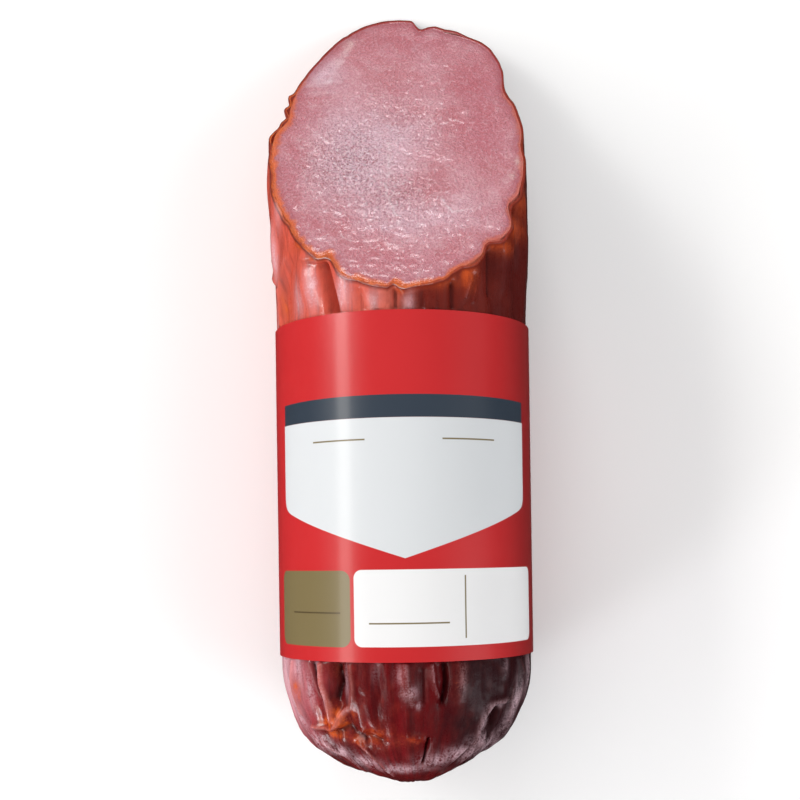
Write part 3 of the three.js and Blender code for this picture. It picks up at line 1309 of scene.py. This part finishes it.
@dataclass
class LabelBand:
    """The printed film, wrapped once round the casing and lapped over itself low on the hidden side."""

    layout: Layout
    finish: "PrintedFilm"
    thickness: float = 0.14
    slack: float = 0.05
    lap_start: float = 209.0
    lap_end: float = 233.0
    lap_ramp: float = 7.0
    lap_lift: float = 0.15
    waviness: float = 0.05
    columns: int = 320
    lengths: int = 30

    def lifted(self, angle: Array, length: Array) -> Array:
        """Outer radius of the film.

        Args:
            angle: Angles, from the inner end of the lap to its outer end.
            length: Places along the band.

        Returns:
            The radii.
        """
        over = smoothstep(angle, self.lap_start - self.lap_ramp, self.lap_start)
        around = np.radians(angle)
        spots = np.stack([BAND_RADIUS * np.sin(around), length, BAND_RADIUS * np.cos(around)], axis=1)
        waves = noise_over(spots, (9.0, 16.0, 9.0), 7.7)
        plain = FORM.band_radius - self.slack + over * self.lap_lift
        return plain - self.waviness * (0.5 + 0.5 * waves)

    def build(self) -> bpy.types.Object:
        """Makes the band and dresses it."""
        mesh = bmesh.new()
        bmesh.ops.create_grid(mesh, x_segments=self.columns, y_segments=self.lengths, size=0.5)
        first, last = self.lap_start - 360.0, self.lap_end
        print_map = mesh.loops.layers.uv.new("print")
        for vertex in mesh.verts:
            across, along = vertex.co.x + 0.5, vertex.co.y + 0.5
            vertex.co = (first + across * (last - first), along * FORM.band_length, 0.0)
        for face in mesh.faces:
            for corner in face.loops:
                place = corner.vert.co
                corner[print_map].uv = (math.radians(place.x) * FORM.band_radius, place.y)
        mesh.normal_update()
        bmesh.ops.solidify(mesh, geom=mesh.faces[:], thickness=self.thickness)
        flat = np.array([vertex.co[:] for vertex in mesh.verts])
        depth = flat[:, 2].max() - flat[:, 2]
        radial = self.lifted(flat[:, 0], flat[:, 1]) - depth
        around = np.radians(flat[:, 0])
        belly = FORM.band_belly - 0.5 * self.slack - depth
        height = np.maximum(radial * np.cos(around), -belly)
        points = np.stack([radial * np.sin(around), flat[:, 1], height], axis=1)
        piece = settle(mesh, "printed_band", self.layout.placed(points), {})
        piece.data.materials.append(self.finish.material(self.layout))
        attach(piece, BODY)
        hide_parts("label_band")
        return piece


# ---------------------------------------------------------------------------------------------- finishes


@dataclass(frozen=True)
class SmokedSkin:
    """Oily smoked casing: salmon to maroon beyond the band, and lilac to deep red over the dome, partly
    painted light from the left, with painted shade in its creases and painted highlights and sheen.
    """

    # Salmon and copper on the left, mahogany and maroon on the right: the casing's tone with painted light
    # from the left.
    salmon: Colour = ink(204, 84, 66)
    brick: Colour = ink(150, 46, 34)
    copper: Colour = ink(212, 108, 92)
    mahogany: Colour = ink(106, 32, 24)
    maroon: Colour = ink(80, 20, 17)
    # Lilac, deep red and plum run from the dome's lit left to its shaded right: painted light.
    lilac: Colour = ink(178, 64, 74)
    deep_red: Colour = ink(90, 10, 14)
    plum: Colour = ink(42, 13, 17)
    # Crimson paints light on the dome's ribs.
    crimson: Colour = ink(150, 30, 38)
    # Painted shade in the creases: near black, and orange-red on the lit left.
    crease: Colour = ink(38, 4, 7)
    fold: Colour = ink(176, 70, 54)
    # Painted highlight on raised creases.
    painted_ridge_highlight: Colour = ink(226, 122, 104)
    # Pale lilac of the painted sheen.
    painted_sheen: Colour = ink(236, 196, 206)
    amber: Colour = ink(140, 34, 12)
    # Bright orange: the stains' own tone on the cut side, and painted highlights over the dome.
    orange_stain_and_highlight: Colour = ink(226, 98, 36)
    # Painted shade along the cut edge.
    painted_rim_shade: Colour = ink(112, 30, 14)
    cut_orange: Colour = ink(216, 104, 44)
    cut_brown: Colour = ink(128, 48, 26)
    cut_rose: Colour = ink(160, 64, 66)
    cut_side: Place = (20.0, 60.0)

    def unrolled(self, graph: Graph, place: Value) -> Value:
        """Places whose noise runs lengthwise on the barrel and towards the tip on the dome."""
        x, y, z = graph.axes(place)
        past = ((FORM.dome_start - y) / FORM.dome_depth).at_least(0.0)
        aside, height = x - past * past * FORM.tip_shift, z - past * past * FORM.tip_rise
        girth = (aside * aside + height * height).root().at_least(0.5) / FORM.radius
        return graph.combined(aside / girth, y * 0.12, height / girth)

    def tint(self, graph: Graph, place: Value, blotches: Value, streaks: Value, grain: Value) -> Value:
        """Mixes the skin's colour, painted light and shade included.

        Args:
            graph: The graph.
            place: Where on the sausage.
            blotches: Cloudy noise.
            streaks: Noise drawn out lengthwise.
            grain: Fine noise.

        Returns:
            The colour.
        """
        x, y, z = graph.axes(place)
        on_cut_side = y.ramp(*self.cut_side)
        clouds = graph.noise(place, 0.16, 3.0)
        shifted = x + (clouds - 0.5) * 14.0
        # Beyond the band: salmon on the left to maroon on the right, partly the casing's own tone and partly
        # painted light falling from the left.
        cut_side = graph.mix(shifted.ramp(-12.0, 0.0), self.salmon, self.copper)
        cut_side = graph.mix(shifted.ramp(-5.0, 3.0), cut_side, self.mahogany)
        cut_side = graph.mix(shifted.ramp(14.0, 26.0), cut_side, self.maroon)
        # Over the dome: lilac on the left to plum on the right, painted light from the left, with painted
        # sheen at the far left edge.
        dome_side = graph.mix(shifted.ramp(-28.0, -15.0), self.lilac, self.deep_red)
        dome_side = graph.mix(shifted.ramp(2.0, 16.0), dome_side, self.plum)
        dome_side = graph.mix(x.ramp(-30.0, -20.0, 0.6, 0.0), dome_side, self.painted_sheen)
        colour = graph.mix(on_cut_side, dome_side, cut_side)

        colour = graph.mix(blotches.ramp(0.45, 0.75) * x.ramp(-6.0, 8.0, 0.3, 0.06), colour, self.brick)
        # Broad lengthwise bands on the dome: crimson paints light on the ribs, and the shade colour paints
        # shade between them and along darker streaks.
        bands = graph.noise(self.unrolled(graph, place), 0.42, 2.0, 0.5)
        painted_lit_bands = bands.ramp(0.25, 0.55, 0.5, 0.0) * clouds.ramp(0.35, 0.65) * x.ramp(-6.0, 8.0, 1.0, 0.0)
        painted_lit_bands = painted_lit_bands * (1 - on_cut_side)
        colour = graph.mix(painted_lit_bands, colour, self.crimson)
        shade = graph.mix(on_cut_side, self.plum, self.maroon)
        colour = graph.mix(bands.ramp(0.45, 0.75, 0.0, 0.5), colour, shade)
        colour = graph.mix(streaks.ramp(0.45, 0.75) * 0.4, colour, shade)
        amber = graph.attribute("amber") * blotches.ramp(0.25, 0.65, 0.3, 1.0)
        colour = graph.mix(amber, colour, self.amber)
        # Bright orange in the stains: on the cut side the stains' own tone; the fine speckle and the share
        # that grows towards the left are painted highlights.
        colour = graph.mix(amber * grain.ramp(0.5, 0.7) * 0.45, colour, self.orange_stain_and_highlight)
        colour = graph.mix(amber.ramp(0.25, 1.0) * x.ramp(-18.0, -4.0, 0.9, 0.12), colour, self.orange_stain_and_highlight)
        colour = graph.mix(amber * on_cut_side * 0.5, colour, self.orange_stain_and_highlight)
        # Raised creases get a painted highlight, strongest on the left.
        proud = graph.attribute("proud").ramp(0.2, 0.9) * x.ramp(-16.0, 4.0, 0.35, 0.03)
        colour = graph.mix(proud, colour, self.painted_ridge_highlight)
        # Creases: painted shade, near black on the dome and a deep orange-red on the lit left beyond the
        # band.
        valley = graph.attribute("valley")
        creased = graph.mix(on_cut_side * x.ramp(-12.0, 4.0, 1.0, 0.0), self.crease, self.fold)
        colour = graph.mix(valley.ramp(0.25, 1.3) * 0.9, colour, creased)

        below, inside = graph.attribute("below_cut"), graph.attribute("inside")
        smoked = z.ramp(-17.0, -7.0)
        cut_edge = graph.mix(x.ramp(4.0, 22.0), self.cut_orange, self.cut_brown)
        cut_edge = graph.mix(smoked, self.cut_rose, cut_edge)
        cut_edge = graph.mix(clouds.ramp(0.4, 0.6) * 0.5, cut_edge, self.brick)
        cut_edge = graph.mix(blotches.ramp(0.45, 0.6) * 0.7, cut_edge, self.brick)
        # The outer half of the cut edge and the skin just below it are darkened: painted shade under the
        # edge.
        cut_edge = graph.mix(inside.ramp(0.05, 0.45), self.painted_rim_shade, cut_edge)
        colour = graph.mix(below.ramp(0.05, 0.8, 0.7, 0.0), colour, self.painted_rim_shade)
        return graph.mix(below.ramp(0.0, 0.06, 1.0, 0.0), colour, cut_edge)

    def material(self, layout: Layout) -> bpy.types.Material:
        """Makes the finish.

        Args:
            layout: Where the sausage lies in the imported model.

        Returns:
            The material.
        """
        graph = Graph.for_finish("smoked_skin_finish")
        place = graph.place(layout.origin)
        x, y, _ = graph.axes(place)
        blotches = graph.noise(graph.stretched(place, (1.0, 0.5, 1.0)), 0.55, 4.0, 0.6)
        streaks = graph.noise(self.unrolled(graph, place), 1.1, 3.0, 0.6)
        grain = graph.noise(place, 2.2, 3.0, 0.6)
        colour = self.tint(graph, place, blotches, streaks, grain)
        on_cut_side = y.ramp(*self.cut_side)
        lit_side = x.ramp(-22.0, -4.0, 1.0, 0.3) * (on_cut_side * 0.4 + 0.4)
        oil = lit_side * blotches.ramp(0.35, 0.6, 0.5, 1.0) + graph.attribute("amber") * 0.6
        height = grain * 0.4 + streaks * 0.65 + blotches * 0.4
        normal = graph.relief(height, 0.2)
        moist = graph.surface(
            {
                "Base Color": colour,
                "Roughness": (grain * 0.4 + blotches * 0.5).ramp(0.3, 0.6, 0.24, 0.46),
                "IOR": 1.45,
                "Specular IOR Level": 0.12,
                "Coat Weight": oil.at_most(1.0),
                "Coat Roughness": 0.12,
                "Normal": normal,
            }
        )
        # Painted sheen: the skin's colour mixed towards pale lilac, under a real sheen.
        sheen_surface = graph.surface(
            {
                "Base Color": graph.mix(0.8, colour, self.painted_sheen),
                "Roughness": 0.45,
                "IOR": 1.45,
                "Specular IOR Level": 0.4,
                "Sheen Weight": 0.7,
                "Sheen Roughness": 0.35,
                "Sheen Tint": (0.95, 0.80, 0.90, 1.0),
                "Coat Weight": 0.3,
                "Coat Roughness": 0.2,
                "Normal": normal,
            }
        )
        shown = (streaks * 0.3 + grain * 0.4 + blotches * 0.4).ramp(0.42, 0.66, 0.05, 1.0)
        # Painted sheen on its patches and on raised creases, kept out of the creases and the stains.
        painted_sheen_share = graph.attribute("painted_sheen").at_least(graph.attribute("proud").ramp(0.3, 1.2, 0.0, 0.5))
        painted_sheen_share = painted_sheen_share * graph.attribute("valley").ramp(0.1, 0.7, 1.0, 0.1) * (1 - graph.attribute("amber"))
        return graph.finish(graph.blended(painted_sheen_share * shown.at_least(on_cut_side * 0.6), moist, sheen_surface))


@dataclass(frozen=True)
class Vein:
    """A pale line of connective tissue on the cut face, from one (across, downhill) place to another."""

    start: Place
    end: Place
    width: float
    strength: float


@dataclass(frozen=True)
class Patch:
    """A soft patch of another tone on the cut face."""

    across: float
    down: float
    wide: float
    tall: float
    strength: float
    tone: Colour


ROSE = ink(190, 98, 112)
LAVENDER = ink(222, 188, 203)
FAT = ink(236, 210, 204)


@dataclass(frozen=True)
class CuredHam:
    """Moist cured ham: mauve pink with a pitted grain, pale tissue and a smoke-tinted rim, with painted shade
    in its pits and painted glints.
    """

    pink: Colour = ink(208, 146, 157)
    rose: Colour = ink(198, 122, 132)
    pale_pink: Colour = ink(226, 184, 193)
    tissue: Colour = ink(232, 206, 212)
    # Painted shade in the pits and painted glints.
    painted_pit_shade: Colour = ink(150, 70, 72)
    painted_glint: Colour = ink(246, 226, 230)
    smoke: Colour = ink(220, 104, 52)
    dark_rose: Colour = ink(168, 74, 86)
    roughness: float = 0.34
    veins: tuple[Vein, ...] = (
        Vein((-2.4, -1.0), (-2.9, -14.0), 0.8, 0.55),
        Vein((-2.9, -14.0), (-3.6, -17.0), 0.8, 0.5),
        Vein((-3.6, -17.0), (-2.3, -24.0), 0.7, 0.5),
        Vein((-2.3, -24.0), (-0.1, -30.0), 0.7, 0.6),
        Vein((9.0, -22.4), (11.7, -26.6), 0.5, 0.7),
        Vein((11.7, -26.6), (16.0, -25.6), 0.5, 0.6),
        Vein((-13.4, -33.1), (-10.7, -35.5), 0.4, 0.6),
        Vein((-11.7, 38.6), (-15.0, 30.0), 1.6, 0.25),
        Vein((-15.0, 30.0), (-17.0, 23.0), 1.6, 0.25),
        Vein((-17.0, 23.0), (-23.0, 20.5), 1.2, 0.40),
    )
    patches: tuple[Patch, ...] = (
        Patch(-9.0, -10.0, 14.0, 17.0, 0.85, LAVENDER),
        Patch(0.0, 2.0, 12.0, 10.0, 0.60, LAVENDER),
        Patch(0.0, -28.0, 13.0, 8.0, 0.60, LAVENDER),
        Patch(14.0, -27.0, 9.0, 7.0, 0.40, LAVENDER),
        Patch(-19.0, 26.0, 7.0, 8.0, 0.70, LAVENDER),
        Patch(-13.0, 6.0, 11.0, 11.0, 0.45, LAVENDER),
        Patch(-25.0, -12.0, 3.6, 15.0, 0.60, ROSE),
        Patch(-22.0, 9.0, 4.0, 7.0, 0.40, ROSE),
        Patch(3.0, 38.0, 16.0, 9.0, 0.60, ROSE),
        Patch(20.0, 20.0, 9.0, 14.0, 0.85, ROSE),
        Patch(2.0, 20.0, 9.0, 6.0, 0.30, ROSE),
        Patch(20.0, 0.0, 8.0, 13.0, 0.85, ROSE),
        Patch(23.0, -27.0, 2.0, 2.4, 0.70, ROSE),
        Patch(-12.4, -29.0, 4.0, 2.0, 0.40, ROSE),
        Patch(0.0, -42.0, 20.0, 5.0, 0.45, ROSE),
        Patch(-20.0, -31.0, 5.0, 3.0, 0.40, ROSE),
        Patch(27.6, -9.5, 1.0, 2.4, 0.90, FAT),
        Patch(26.0, -14.0, 1.0, 1.6, 0.50, FAT),
        Patch(-27.2, 6.6, 1.1, 2.0, 0.70, FAT),
        Patch(-12.8, 39.0, 2.0, 3.6, 0.45, FAT),
        Patch(-1.2, -26.0, 1.8, 2.0, 0.35, LAVENDER),
    )

    def line(self, across: Value, down: Value, vein: Vein) -> Value:
        """Strength of one vein.

        Args:
            across: Place across the face.
            down: Place along its slope.
            vein: The vein.

        Returns:
            The strength, from 0 beside it.
        """
        run_across, run_down = vein.end[0] - vein.start[0], vein.end[1] - vein.start[1]
        square = run_across**2 + run_down**2
        from_across, from_down = across - vein.start[0], down - vein.start[1]
        share = ((from_across * run_across + from_down * run_down) / square).at_least(0.0).at_most(1.0)
        off_across, off_down = from_across - share * run_across, from_down - share * run_down
        away = (off_across * off_across + off_down * off_down).root()
        return away.ramp(0.0, vein.width, vein.strength, 0.0)

    def patch(self, across: Value, down: Value, patch: Patch) -> Value:
        """Strength of one patch, from 0 beside it."""
        off_across, off_down = (across - patch.across) / patch.wide, (down - patch.down) / patch.tall
        away = (off_across * off_across + off_down * off_down).root()
        return away.ramp(0.0, 1.4, patch.strength, 0.0)

    def material(self, layout: Layout) -> bpy.types.Material:
        """Makes the finish.

        Args:
            layout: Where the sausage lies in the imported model.

        Returns:
            The material.
        """
        graph = Graph.for_finish("cured_ham_finish")
        place = graph.place(layout.origin)
        x, _, z = graph.axes(place)
        down = z * -math.hypot(1.0, FORM.cut_slope)
        clouds = graph.noise(place, 0.10, 3.0)
        marbling = graph.noise(place, 0.35, 4.0, 0.6)
        grain = graph.noise(graph.stretched(place, (1.05, 0.9, 0.9)), 1.7, 2.0, 0.6)
        fine = graph.noise(graph.stretched(place, (1.0, 0.9, 0.9)), 3.2, 2.0, 0.6)
        wander = (graph.noise(place, 0.4, 2.0) - 0.5) * 6.0

        colour = graph.mix(clouds.ramp(0.35, 0.68), self.rose, self.pink)
        for patch in self.patches:
            strength = self.patch(x + wander * 0.4, down + wander, patch)
            colour = graph.mix(strength * marbling.ramp(0.2, 0.6, 0.5, 1.0), colour, patch.tone)
        colour = graph.mix(marbling.ramp(0.45, 0.8) * 0.45, colour, self.pale_pink)
        pitted = graph.attribute("pitted")
        coarse = pitted * 0.6 + 0.4
        # Painted shade in the grain's pits and painted glints beside them, strongest where the face is
        # pitted.
        colour = graph.mix(grain.ramp(0.38, 0.46, 1.0, 0.0) * coarse * 0.6, colour, self.painted_pit_shade)
        colour = graph.mix(grain.ramp(0.56, 0.62) * coarse * 0.5, colour, self.painted_glint)
        colour = graph.mix(fine.ramp(0.60, 0.68) * coarse * 0.5, colour, self.painted_glint)
        for vein in self.veins:
            strength = self.line(x + wander * 0.4, down + wander * 0.3, vein)
            colour = graph.mix(strength * marbling.ramp(0.3, 0.55), colour, self.tissue)

        from_rim = graph.attribute("from_rim")
        smoked = (z + (clouds - 0.5) * 16.0).ramp(-17.0, -6.0)
        smoke_width = x.ramp(-24.0, 4.0, 0.7, 0.4) * marbling.ramp(0.3, 0.7, 0.4, 1.7) * smoked + 0.1
        near_rim = from_rim / smoke_width
        colour = graph.mix(from_rim.ramp(0.3, 3.5, 0.55, 0.0), colour, self.dark_rose)
        smoky = near_rim.ramp(0.4, 2.4, 0.95, 0.0) * smoked * x.ramp(6.0, 24.0, 1.0, 0.5)
        colour = graph.mix(smoky, colour, self.smoke)

        height = grain * (1.0 + pitted) + fine * 0.5
        return graph.finish(
            graph.surface(
                {
                    "Base Color": colour,
                    "Roughness": self.roughness + (fine - 0.5) * 0.3 - pitted * 0.08,
                    "IOR": 1.42,
                    "Subsurface Weight": 0.15,
                    "Subsurface Radius": (1.0, 0.45, 0.35),
                    "Subsurface Scale": 1.0 * MM,
                    "Coat Weight": 0.4,
                    "Coat Roughness": 0.12,
                    "Normal": graph.relief(height, 0.45),
                }
            )
        )


@dataclass(frozen=True)
class Panel:
    """A printed shape with round corners, by its lower left and upper right corners on the band."""

    left: float
    low: float
    right: float
    high: float
    corner: float
    colour: Colour


@dataclass(frozen=True)
class PrintedFilm:
    """Gloss film printed in flat inks: a red ground, a pale shield under a slate bar, and small panels."""

    red: Colour = ink(191, 30, 34)
    bright_red: Colour = ink(202, 39, 42)
    dark_red: Colour = ink(150, 26, 28)
    slate: Colour = ink(48, 58, 70)
    shield: Colour = ink(211, 214, 216)
    gold: Colour = ink(120, 106, 70)
    dark_gold: Colour = ink(84, 70, 44)
    white: Colour = ink(231, 231, 231)
    softness: float = 0.07
    shield_half_width: float = 33.5
    shield_corner: float = 33.4
    shield_apex: float = 22.3
    shield_top: float = 52.5
    shield_round: float = 4.0
    bar_half_width: float = 33.3
    bar_top: float = 57.4
    bar_fall: float = 0.3

    def panels(self) -> tuple[Panel, ...]:
        """The panels and rules, in the order in which they are printed."""
        rule = 0.17
        return (
            Panel(-21.8, 47.9 - rule, -8.5, 47.9 + rule, 0.05, self.gold),
            Panel(8.5, 47.9 - rule, 21.8, 47.9 + rule, 0.05, self.gold),
            Panel(-35.8, 3.2, -12.4, 19.8, 2.2, self.gold),
            Panel(-29.8, 10.6 - rule, -14.9, 10.6 + rule, 0.05, self.dark_gold),
            Panel(-11.5, 3.3, 36.8, 19.9, 1.8, self.white),
            Panel(-8.1, 8.35 - rule, 9.6, 8.35 + rule, 0.05, self.gold),
            Panel(13.4 - rule, 4.9, 13.4 + rule, 18.5, 0.05, self.gold),
        )

    def inked(self, distance: Value) -> Value:
        """1 inside a printed shape and 0 outside, from the distance to its edge."""
        return distance.ramp(-self.softness, self.softness, 1.0, 0.0)

    def panel_mask(self, across: Value, along: Value, panel: Panel) -> Value:
        """Where one panel is printed.

        Args:
            across: Place round the band.
            along: Place along it.
            panel: The panel.

        Returns:
            1 inside it and 0 outside.
        """
        half_width, half_height = 0.5 * (panel.right - panel.left), 0.5 * (panel.high - panel.low)
        off_across = abs(across - 0.5 * (panel.left + panel.right)) - (half_width - panel.corner)
        off_along = abs(along - 0.5 * (panel.low + panel.high)) - (half_height - panel.corner)
        past_across, past_along = off_across.at_least(0.0), off_along.at_least(0.0)
        outside = (past_across * past_across + past_along * past_along).root()
        inside = off_across.at_least(off_along).at_most(0.0)
        return self.inked(outside + inside - panel.corner)

    def shield_mask(self, across: Value, along: Value) -> Value:
        """Where the pointed shield is printed.

        Args:
            across: Place round the band.
            along: Place along it.

        Returns:
            1 inside it and 0 outside.
        """
        rise = self.shield_corner - self.shield_apex
        length = math.hypot(self.shield_half_width, rise)
        aside = abs(across)
        slant = aside * (rise / length) - (along - self.shield_apex) * (self.shield_half_width / length)
        side = aside - self.shield_half_width
        rounded = side.math("SMOOTH_MAX", side, slant, self.shield_round)
        return self.inked(rounded.at_least(along - self.shield_top))

    def bar_mask(self, across: Value, along: Value) -> Value:
        """Where the slate bar over the shield is printed.

        Args:
            across: Place round the band.
            along: Place along it.

        Returns:
            1 inside it and 0 outside.
        """
        share = across / self.bar_half_width
        top = self.bar_top - share * share * self.bar_fall
        inside = (along - top).at_least(self.shield_top - along)
        return self.inked(inside.at_least(abs(across) - self.bar_half_width))

    def material(self, layout: Layout) -> bpy.types.Material:
        """Makes the finish.

        Args:
            layout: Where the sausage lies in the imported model.

        Returns:
            The material.
        """
        graph = Graph.for_finish("printed_film_finish")
        printed = graph.node("ShaderNodeUVMap", {"uv_map": "print"})
        across, along, _ = graph.axes(printed)
        place = graph.place(layout.origin)
        tone = graph.noise(place, 0.05, 2.0)
        fine = graph.noise(place, 1.2, 3.0, 0.6)
        soft = graph.noise(graph.stretched(place, (1.0, 0.4, 1.0)), 0.12, 2.0)

        colour = graph.mix(tone.ramp(0.3, 0.7) * 0.3, self.red, self.bright_red)
        colour = graph.mix(across.ramp(18.0, 36.0), colour, self.dark_red)
        colour = graph.mix(self.shield_mask(across, along), colour, self.shield)
        colour = graph.mix(self.bar_mask(across, along), colour, self.slate)
        for panel in self.panels():
            colour = graph.mix(self.panel_mask(across, along, panel), colour, panel.colour)

        return graph.finish(
            graph.surface(
                {
                    "Base Color": colour,
                    "Roughness": 0.32 + (fine - 0.5) * 0.08,
                    "IOR": 1.46,
                    "Specular IOR Level": 0.45,
                    "Coat Weight": 0.42,
                    "Coat Roughness": 0.15,
                    "Normal": graph.relief(soft * 0.8 + fine * 0.04, 0.12),
                }
            )
        )


@dataclass(frozen=True)
class PaperFloor:
    """Plain pale studio paper."""

    pale: Colour = ink(252, 252, 252)
    shade: Colour = ink(248, 248, 248)

    def material(self, layout: Layout) -> bpy.types.Material:
        """Makes the finish."""
        graph = Graph.for_finish("studio_paper_finish")
        clouds = graph.noise(graph.place(layout.origin), 0.01, 2.0)
        colour = graph.mix(clouds, self.pale, self.shade)
        return graph.finish(graph.surface({"Base Color": colour, "Roughness": 0.9}))


# ---------------------------------------------------------------------------------------------- studio


@dataclass(frozen=True)
class Softbox:
    """A rectangular lamp that looks at the sausage's middle."""

    name: str
    direction: tuple[float, float, float]
    distance: float
    width: float
    height: float
    watts: float
    shines: bool = True
    tint: tuple[float, float, float] = (1.0, 1.0, 1.0)


@dataclass
class Studio:
    """The floor, the lamps and the camera."""

    layout: Layout
    lens_height: float = 296.4
    lens_length: float = 23.2
    focal_length: float = 56.16
    roll: float = math.radians(-0.84)
    shift: Place = (-0.0065, 0.1925)
    floor_half_size: float = 3.0
    sky_strength: float = 0.40
    room_strength: float = 0.03
    zenith_share: float = 0.40
    softboxes: tuple[Softbox, ...] = (
        Softbox("top_fill", (0.0, 0.1, 1.0), 1.3, 1.2, 1.2, 3.3, False),
        Softbox("side_strip", (-0.80, 0.0, 0.60), 0.9, 1.8, 0.19, 4.6, True, (1.0, 0.97, 0.92)),
        Softbox("left_key", (-0.75, 0.42, 0.50), 1.0, 0.28, 0.28, 2.1),
        Softbox("dome_key", (-0.74, -0.60, 0.34), 0.9, 0.18, 0.3, 2.5, True, (0.96, 0.94, 1.0)),
        Softbox("left_fill", (-0.9, -0.1, 0.30), 1.2, 0.7, 1.0, 0.3, False),
        Softbox("right_rim", (0.95, -0.35, 0.25), 1.0, 0.2, 0.8, 1.8, True, (0.96, 0.94, 1.0)),
        Softbox("right_fill", (0.8, -0.32, 0.6), 1.2, 0.7, 1.0, 6.2, False),
        Softbox("cut_light", (-0.10, 0.90, 0.34), 1.1, 0.35, 0.25, 3.3),
    )

    def add_floor(self) -> bpy.types.Object:
        """Lays the paper floor."""
        mesh = bmesh.new()
        bmesh.ops.create_grid(mesh, x_segments=4, y_segments=4, size=self.floor_half_size)
        data = bpy.data.meshes.new("paper_floor")
        mesh.to_mesh(data)
        mesh.free()
        floor = bpy.data.objects.new("paper_floor", data)
        bpy.context.scene.collection.objects.link(floor)
        data.materials.append(PaperFloor().material(self.layout))
        floor.visible_glossy = False
        return floor

    def add_softbox(self, softbox: Softbox) -> bpy.types.Object:
        """Hangs one lamp.

        Args:
            softbox: The lamp.

        Returns:
            The lamp's object.
        """
        data = bpy.data.lights.new(softbox.name, "AREA")
        data.shape = "RECTANGLE"
        data.size = softbox.width
        data.size_y = softbox.height
        data.energy = softbox.watts
        data.color = softbox.tint
        lamp = bpy.data.objects.new(softbox.name, data)
        bpy.context.scene.collection.objects.link(lamp)
        direction = Vector(softbox.direction).normalized()
        lamp.location = self.layout.origin + direction * softbox.distance
        lamp.rotation_euler = direction.to_track_quat("Z", "Y").to_euler()
        lamp.visible_glossy = softbox.shines
        return lamp

    def add_camera(self) -> bpy.types.Object:
        """Puts the camera over the sausage, looking straight down."""
        data = bpy.data.cameras.new("camera")
        data.lens = self.focal_length
        data.sensor_width = 36.0
        data.shift_x, data.shift_y = self.shift
        data.clip_start = 0.01
        camera = bpy.data.objects.new("camera", data)
        bpy.context.scene.collection.objects.link(camera)
        above = Vector((0.0, self.lens_length, self.lens_height)) * MM
        camera.location = self.layout.origin + above
        camera.rotation_euler = (0.0, 0.0, self.roll)
        bpy.context.scene.camera = camera
        return camera

    def add_world(self) -> None:
        """Fills the room with even light, and keeps it dark under the horizon."""
        world = bpy.data.worlds.new("studio_world")
        graph = Graph(world)
        _, _, up = graph.axes(graph.node("ShaderNodeTexCoord", output="Generated"))
        height = up.ramp(-0.02, 0.35) * up.ramp(0.45, 0.9, 1.0, self.zenith_share)
        strength = height * (self.sky_strength - self.room_strength) + self.room_strength
        sky = graph.node("ShaderNodeBackground", None, {"Color": (1.0, 1.0, 1.0, 1.0), "Strength": strength})
        graph.add("ShaderNodeOutputWorld", None, {"Surface": sky})
        bpy.context.scene.world = world

    def build(self) -> None:
        """Sets up the whole studio."""
        self.add_camera()
        self.add_floor()
        self.add_world()
        for softbox in self.softboxes:
            self.add_softbox(softbox)
        bpy.context.scene.view_settings.view_transform = "Standard"


def pieces(layout: Layout) -> Iterator[bpy.types.Object]:
    """Builds each piece in order."""
    low, high = (layout.unplaced(corner) for corner in CAD_BOX)
    shape = SkinShape(SkinRelief(), low, high)
    yield Meat(layout, shape, CuredHam()).build()
    yield Casing(layout, shape, SmokedSkin()).build()
    yield LabelBand(layout, PrintedFilm()).build()


def main() -> None:
    """Builds the sausage in its studio."""
    logging.basicConfig(level=logging.INFO, format="%(name)s: %(message)s")
    layout = Layout.from_band(FORM.band_radius)
    Studio(layout).build()
    for piece in pieces(layout):
        LOG.info("%s is in place", piece.name)


if __name__ == "__main__":
    main()
